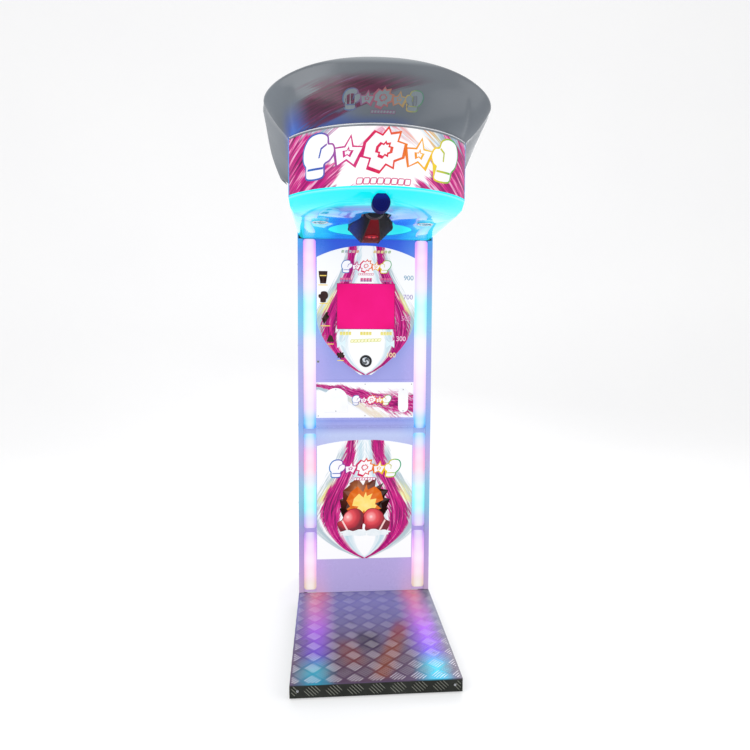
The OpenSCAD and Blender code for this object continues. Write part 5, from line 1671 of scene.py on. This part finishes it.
def build_wheel(body, side):
    """A ribbed tyre with blocks on its shoulders, and a hub with six webs."""
    lo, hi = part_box(body)
    centre = (lo + hi) / 2
    move = Matrix.Translation(centre)
    radius, w = (hi.z - lo.z) / 2, (hi.x - lo.x) / 2
    tyre = [(0.58, -0.82), (0.86, -0.98), (0.95, -0.86), (0.985, -0.6)]
    for k in range(-2, 3):
        c = k * 0.24
        tyre += [(1.0, c - 0.09), (1.0, c + 0.05), (0.965, c + 0.07), (0.965, c + 0.13)]
    tyre += [(0.985, 0.66), (0.95, 0.86), (0.86, 0.98), (0.58, 0.82)]
    tread = Parts().add(*turned([(p * radius, q * w) for p, q in tyre], 64, "X", closed=True), move)
    for k in range(32):
        out, rim = spoke(math.tau * k / 32)
        c = centre + out * radius * 0.955
        for s in (-1, 1):
            tread.add([c + Vector((s * w * p, 0, 0)) + rim * q * 0.0022 + out * h
                       for h in (-0.001, 0.0013)
                       for p, q in ((0.62, -1), (0.9, -1), (0.9, 1), (0.62, 1))], BOX)
    piece = tread.piece(side + "_tyre", finish(rubber), body=body, slot="tyre")
    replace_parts(piece, body)
    hub, hub_r = Parts(), 0.60 * radius
    bore = [(0.0068, -w), (0.012, -w), (0.0125, -w * 0.8), (0.0125, w * 0.8), (0.012, w),
            (0.0068, w)]
    ring = [(hub_r * 0.88, -w * 0.8), (hub_r, -w * 0.84), (hub_r, w * 0.84),
            (hub_r * 0.88, w * 0.8)]
    for profile in (bore, ring):
        hub.add(*turned(profile, 48, "X", closed=True), move)
    for k in range(6):
        out, rim = spoke(math.tau * k / 6)
        hub.add([centre + out * q + rim * p * 0.0022 + Vector((h * w * 0.6, 0, 0))
                 for h in (-1, 1)
                 for q, p in ((0.0118, -1), (hub_r * 0.9, -1.4), (hub_r * 0.9, 1.4), (0.0118, 1))],
                BOX)
    hub.piece(side + "_hub", finish(plastic, "hub", "#c9cbd0", 0.35), body=body, slot="tyre",
              smooth=30)


def build_rear():
    """The rear door with pressed ribs, its lock, louvre hoods, the bent handle and the mains
    inlet's pins."""
    paint = finish(steel_paint, "#b9b2dc", 0.28)
    softened("rear_door", 0.0008, paint, "cabinet_paint")
    lo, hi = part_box("rear_door")
    ribs = Parts()
    cx, cz = (lo.x + 0.016 + hi.x) / 2, (lo.z + hi.z) / 2
    for z in (cz - 0.24, cz, cz + 0.24):
        outline = rounded(cx - 0.13, z - 0.085, cx + 0.13, z + 0.085, 0.018)
        loop = [Vector((p.x, lo.y + 0.003, p.y)) for p in outline]
        ribs.add(*swept(loop, 0.0022, 8, closed=True))
    ribs.piece("door_ribs", paint, body="rear_door", slot="cabinet_paint")
    hoods = Parts()
    back = high("back_panel").y
    for k in range(8):
        z = 1.240 + 0.026 * k
        arc = [(0.0, 0.0135), (0.0035, 0.0130), (0.0070, 0.0100), (0.0085, 0.0050),
               (0.0080, 0.0), (0.0068, 0.0005), (0.0072, 0.0050), (0.0058, 0.0090),
               (0.0030, 0.0115), (0.0, 0.0120)]
        hoods.add([(x, back + d - 0.0003, z + h) for x in (-0.114, 0.114) for d, h in arc],
                  tube(2, len(arc)))
    hoods.piece("louvre_hoods", paint, slot="cabinet_paint")
    a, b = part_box("rear_handle")
    r, z = 0.012, (a.z + b.z) / 2
    out, end, bend = b.y - r, b.x - 0.022, 0.034
    path = [(-end, a.y, z), (-end, out - bend, z)]
    path += [(-end + bend * (1 - math.cos(t)), out - bend + bend * math.sin(t), z)
             for t in [math.pi / 2 * k / 8 for k in range(1, 9)]]
    path += [(-x, y, z) for x, y, z in path[::-1]]
    bar = Parts().add(*swept(path, r * 0.94, 24))
    flange = [(0.0, 0.0), (0.0215, 0.0), (0.0215, 0.0028), (0.0195, 0.0040), (0.0135, 0.0046),
              (0.0, 0.0046)]
    about = Matrix.Rotation(math.pi, 4, "Z")
    for side in (-1, 1):
        bar.add(*turned(flange, 40, "Y"), Matrix.Translation((side * end, a.y, z)) @ about)
        for k in range(3):
            t = math.tau * k / 3 + math.pi / 2
            spot = Matrix.Translation((side * end + 0.0168 * math.cos(t), a.y + 0.004,
                                       z + 0.0168 * math.sin(t)))
            bar.add(*turned(pan_head(0.0022, 0.0014), 16, "Y"), spot @ about)
    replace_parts(bar.piece("handle", finish(metal, "handle", "#3c3e43", 0.35), slot="dark_steel",
                          smooth=30), "rear_handle")
    a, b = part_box("power_inlet")
    face, cx = b.y, (a.x + b.x) / 2
    pins = Parts()
    for dx, dz in ((-0.007, -0.002), (0.007, -0.002), (0.0, 0.003)):
        centre = Vector((cx + dx, face - 0.011, a.z + 0.021 + dz))
        pins.add([centre + Vector((p * 0.001, d, q * 0.002)) for d in (-0.006, 0.005)
                  for p, q in SQUARE], BOX)
    pins.piece("inlet_pins", finish(metal, "pins", "#c9b98a", 0.25), slot="zinc")
    p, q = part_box("front_lock")
    build_lock("front_lock", Vector(((p.x + q.x) / 2, p.y, (p.z + q.z) / 2)), -1)
    p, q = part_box("door_lock_cam")
    build_lock("door_lock", Vector(((p.x + q.x) / 2, q.y, q.z - 0.0125)), 1)


def build_lock(body, centre, side):
    """A lock's barrel and keyway, which face back where side is 1."""
    r, w, h = 0.0046, 0.0006, 0.0026
    ring = [(r, 0.0), (r * 0.96, 0.0006), (r * 0.7, 0.0008), (r * 0.66, 0.0004), (0.0, 0.0003)]
    flip = Matrix.Identity(4) if side < 0 else Matrix.Rotation(math.pi, 4, "Z")
    barrel = Parts().add(*turned(ring, 32, "Y"), Matrix.Translation(centre) @ flip)
    barrel.piece(body + "_barrel", finish(metal, "barrel", "#8f9299", 0.2), body=body,
                 slot="chrome", smooth=30)
    mesh_piece(body + "_keyway", [centre + Vector((s * w, side * d, t * h))
                                  for d in (0.0001, 0.0011) for s, t in SQUARE], BOX,
               finish(plastic, "keyway", "#0b0b0c", 0.6), body=body, slot="black_plastic")


def build_side_trim():
    """Carriage bolts down each side of the cabinet and along the head."""
    bolts = Parts()
    dome = [(0.0062, 0.0), (0.0060, 0.0010), (0.0048, 0.0022), (0.0026, 0.0029), (0.0, 0.0031)]
    a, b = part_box("right_side_panel")
    spots = [(y, z) for y in (FRONT_Y + 0.045, b.y - 0.02) for z in (0.12, 0.45, 0.80, 1.15, 1.50)]
    spots += [(y, z) for y in (a.y + 0.06, a.y + 0.26, a.y + 0.46) for z in (1.70, 1.795)]
    for side in (-1, 1):
        for y, z in spots:
            bolts.add(*turned(dome, 24, "X"), Matrix.Diagonal((side, 1, 1, 1))
                      @ Matrix.Translation((b.x - 0.0001, y, z)))
    bolts.piece("side_bolts", finish(metal, "bolt", "#a9a7bd", 0.28), slot="zinc")


def build_stage(context):
    """The floor, the soft lights and the camera."""
    size = 14.0
    profile = [(-size, 0.0), (3.2, 0.0)]
    profile += [(3.2 + 1.6 * math.sin(t), 1.6 - 1.6 * math.cos(t))
                for t in [math.pi / 2 * k / 12 for k in range(1, 13)]]
    profile += [(4.8, 9.0)]
    verts = [(x, y, z) for y, z in profile for x in (-size, size)]
    faces = [[2 * i, 2 * i + 1, 2 * i + 3, 2 * i + 2] for i in range(len(profile) - 1)]
    floor = linked("floor", bpy.data.meshes.new("floor"))
    floor.data.from_pydata(verts, [], faces)
    floor.data.materials.append(finish(floor_plain))
    for face in floor.data.polygons:
        face.use_smooth = True
    look_at = Vector((0.0, 0.0, 1.1))
    for name, place, power, width in (("key", (-2.4, -3.0, 3.2), 70, 2.6),
                                      ("fill", (3.0, -2.2, 2.0), 35, 2.6),
                                      ("back", (0.6, 3.0, 3.0), 60, 2.4)):
        data = bpy.data.lights.new(name, "AREA")
        data.energy, data.size = power, width
        lamp = linked(name, data)
        lamp.location = place
        lamp.rotation_euler = (look_at - Vector(place)).to_track_quat("-Z", "Y").to_euler()
    world = bpy.data.worlds.new("studio")
    world.use_nodes = True
    world.node_tree.nodes["Background"].inputs["Color"].default_value = (1.0, 1.0, 1.0, 1.0)
    world.node_tree.nodes["Background"].inputs["Strength"].default_value = look().room_light
    context.scene.world = world
    context.scene.view_settings.view_transform = "Standard"
    data = bpy.data.cameras.new("camera")
    data.sensor_width, data.lens = 36.0, 28.8
    camera = linked("camera", data)
    camera.location = (-0.166, -2.4334, 1.227)
    camera.rotation_euler = (Matrix.Rotation(-0.0802, 3, "Z")
                             @ Matrix.Rotation(math.pi / 2 - 0.0779, 3, "X")
                             @ Matrix.Rotation(0.0056, 3, "Z")).to_euler()
    context.scene.camera = camera


# ---------------------------------------------------------------- the add-on

def colour(name, note, tone):
    return bpy.props.FloatVectorProperty(name=name, description=note, subtype="COLOR", size=3,
                                         min=0.0, max=1.0, default=srgb(tone))


def share(name, note, value, most=2.0):
    return bpy.props.FloatProperty(name=name, description=note, default=value, min=0.0, max=most,
                                   subtype="FACTOR")


def metres(name, note, value, least, most):
    return bpy.props.FloatProperty(name=name, description=note, default=value, min=least, max=most,
                                   subtype="DISTANCE", unit="LENGTH", precision=4)


class PunchLook(bpy.types.PropertyGroup):
    lavender: colour("Lavender", "Colour of the mouldings at mid height", "#9d9fe0")
    # The upper blue is painted LED light on the mouldings under the head.
    upper_blue_light: colour("Upper blue", "Colour of the mouldings under the head", "#0c62e6")
    # The cyan and the tray blue are painted LED light on the head's shell and the sign's end
    # strips.
    cyan: colour("Cyan", "Colour of the head's lip", "#04f3fb")
    floor_blue_light: colour("Tray blue", "Colour of the head's floor", "#0478ea")
    magenta: colour("Magenta", "Main colour of the printed bands", "#c4107a")
    bag_red: colour("Bag red", "Colour of the bag's lower panel", "#b01220")
    plate: colour("Tread steel", "Colour of the platform's plate", "#77757f")
    screen_pink: colour("Screen", "Colour of the lit display", "#f00078")
    glow_share: share("Cabinet glow", "How much of the mouldings' colour is light", 0.5)
    bar_light: share("Bar light", "Brightness of the light bars", 1.0, 20.0)
    tray_light: share("Tray light", "Brightness of the head's lower shell", 0.75, 20.0)
    print_light: share("Print light", "Brightness of the lit prints", 0.8, 20.0)
    screen_light: share("Screen light", "Brightness of the display", 0.85, 20.0)
    room_light: share("Room light", "Brightness of the studio", 0.75, 5.0)


class PunchSizes(bpy.types.PropertyGroup):
    tread_pitch: metres("Tread pitch", "Distance between groups that lean the same way",
                        0.0734, 0.04, 0.12)
    tread_length: metres("Tread length", "Length of a raised bar", 0.044, 0.01, 0.06)
    bar_pitch: metres("Bar pitch", "Distance between a group's bars", 0.0090, 0.004, 0.012)
    tread_height: metres("Tread height", "How far a bar stands up", 0.0013, 0.0005, 0.003)
    piping_radius: metres("Piping radius", "Radius of the bag's piping", 0.0018, 0.0005, 0.004)
    bag_cap: metres("Bag swell", "The furthest that a point of the bag's cover moves", 0.007,
                    0.001, 0.02)
    bag_pressure: bpy.props.FloatProperty(name="Bag pressure", default=4.0, min=0.0, max=20.0,
                                          description="Pressure in the bag while it is filled")
    hood_stations: bpy.props.IntProperty(name="Hood stations", default=110, min=22, max=200,
                                         description="Sections in each half of the hood")


def sizes():
    """The sizes in use."""
    return bpy.context.scene.punch_sizes


class Maker:
    """What the operators share. A subclass gives make()."""
    bl_options = {"REGISTER", "UNDO"}

    def execute(self, context):
        self.make(context)
        return {"FINISHED"}


class FinishFrame(Maker, bpy.types.Operator):
    """Give the carried-over frame nodes their finishes"""
    bl_idname = "punch.finish_frame"
    bl_label = "Frame finishes"

    def make(self, context):
        finish_frame()


class BuildShells(Maker, bpy.types.Operator):
    """Build the mouldings, the sides, the back and the head's tray"""
    bl_idname = "punch.shells"
    bl_label = "Shells"

    def make(self, context):
        build_shells()


class BuildHood(Maker, bpy.types.Operator):
    """Build the flared hood"""
    bl_idname = "punch.hood"
    bl_label = "Hood"

    def make(self, context):
        build_hood(sizes().hood_stations)


class BuildSign(Maker, bpy.types.Operator):
    """Put the emblem on the curved sign"""
    bl_idname = "punch.sign"
    bl_label = "Sign emblem"

    def make(self, context):
        emblem("sign_emblem", 0.005, SIGN_LOW + 0.098, 0.565, on_sign, curved=True, rim=0.022)


class BuildBag(Maker, bpy.types.Operator):
    """Build and fill the punch bag"""
    bl_idname = "punch.bag"
    bl_label = "Punch bag"

    def make(self, context):
        build_bag(sizes())


class BuildLights(Maker, bpy.types.Operator):
    """Build the six light bars"""
    bl_idname = "punch.lights"
    bl_label = "Light bars"

    def make(self, context):
        build_lights(sizes())


class BuildScore(Maker, bpy.types.Operator):
    """Print the score panel"""
    bl_idname = "punch.score"
    bl_label = "Score panel"

    def make(self, context):
        build_score_graphics()
        build_start_button()


class BuildConsole(Maker, bpy.types.Operator):
    """Build the console's plates, screws and emblem"""
    bl_idname = "punch.console"
    bl_label = "Console and fittings"

    def make(self, context):
        build_fittings()
        emblem("console_emblem", 0.028, 0.914, 0.175, on_flat(low("console_panel").y))


class BuildArt(Maker, bpy.types.Operator):
    """Print the lower panel"""
    bl_idname = "punch.art"
    bl_label = "Lower panel"

    def make(self, context):
        build_lower_art()


class BuildDeck(Maker, bpy.types.Operator):
    """Raise the bars of the platform's tread plate"""
    bl_idname = "punch.deck"
    bl_label = "Tread plate"

    def make(self, context):
        build_deck(sizes())


class BuildUndercarriage(Maker, bpy.types.Operator):
    """Build the feet and the wheels"""
    bl_idname = "punch.undercarriage"
    bl_label = "Feet and wheels"

    def make(self, context):
        build_undercarriage()


class BuildRear(Maker, bpy.types.Operator):
    """Build the rear door, the louvres, the handle and the inlet's pins"""
    bl_idname = "punch.rear"
    bl_label = "Rear"

    def make(self, context):
        build_rear()
        build_side_trim()


class BuildStage(Maker, bpy.types.Operator):
    """Make the floor, the lights and the camera"""
    bl_idname = "punch.stage"
    bl_label = "Stage"

    def make(self, context):
        build_stage(context)


STEPS = (BuildStage, FinishFrame, BuildShells, BuildHood, BuildSign, BuildBag, BuildLights,
         BuildScore, BuildConsole, BuildArt, BuildDeck, BuildUndercarriage, BuildRear)


class PunchPanel(bpy.types.Panel):
    """The machine's settings and the steps that build it"""
    bl_idname = "VIEW3D_PT_punch_machine"
    bl_label = "Punch machine"
    bl_space_type = "VIEW_3D"
    bl_region_type = "UI"
    bl_category = "Punch machine"

    def draw(self, context):
        for group in (context.scene.punch_look, context.scene.punch_sizes):
            box = self.layout.box()
            for key in group.__annotations__:
                box.prop(group, key)
        for step in STEPS:
            self.layout.operator(step.bl_idname)


CLASSES = (PunchLook, PunchSizes, *STEPS, PunchPanel)


def register():
    for cls in CLASSES:
        bpy.utils.register_class(cls)
    bpy.types.Scene.punch_look = bpy.props.PointerProperty(type=PunchLook)
    bpy.types.Scene.punch_sizes = bpy.props.PointerProperty(type=PunchSizes)


def unregister():
    del bpy.types.Scene.punch_sizes
    del bpy.types.Scene.punch_look
    for cls in reversed(CLASSES):
        bpy.utils.unregister_class(cls)


def main():
    register()
    for step in STEPS:
        group, name = step.bl_idname.split(".")
        getattr(getattr(bpy.ops, group), name)()


if __name__ == "__main__":
    main()
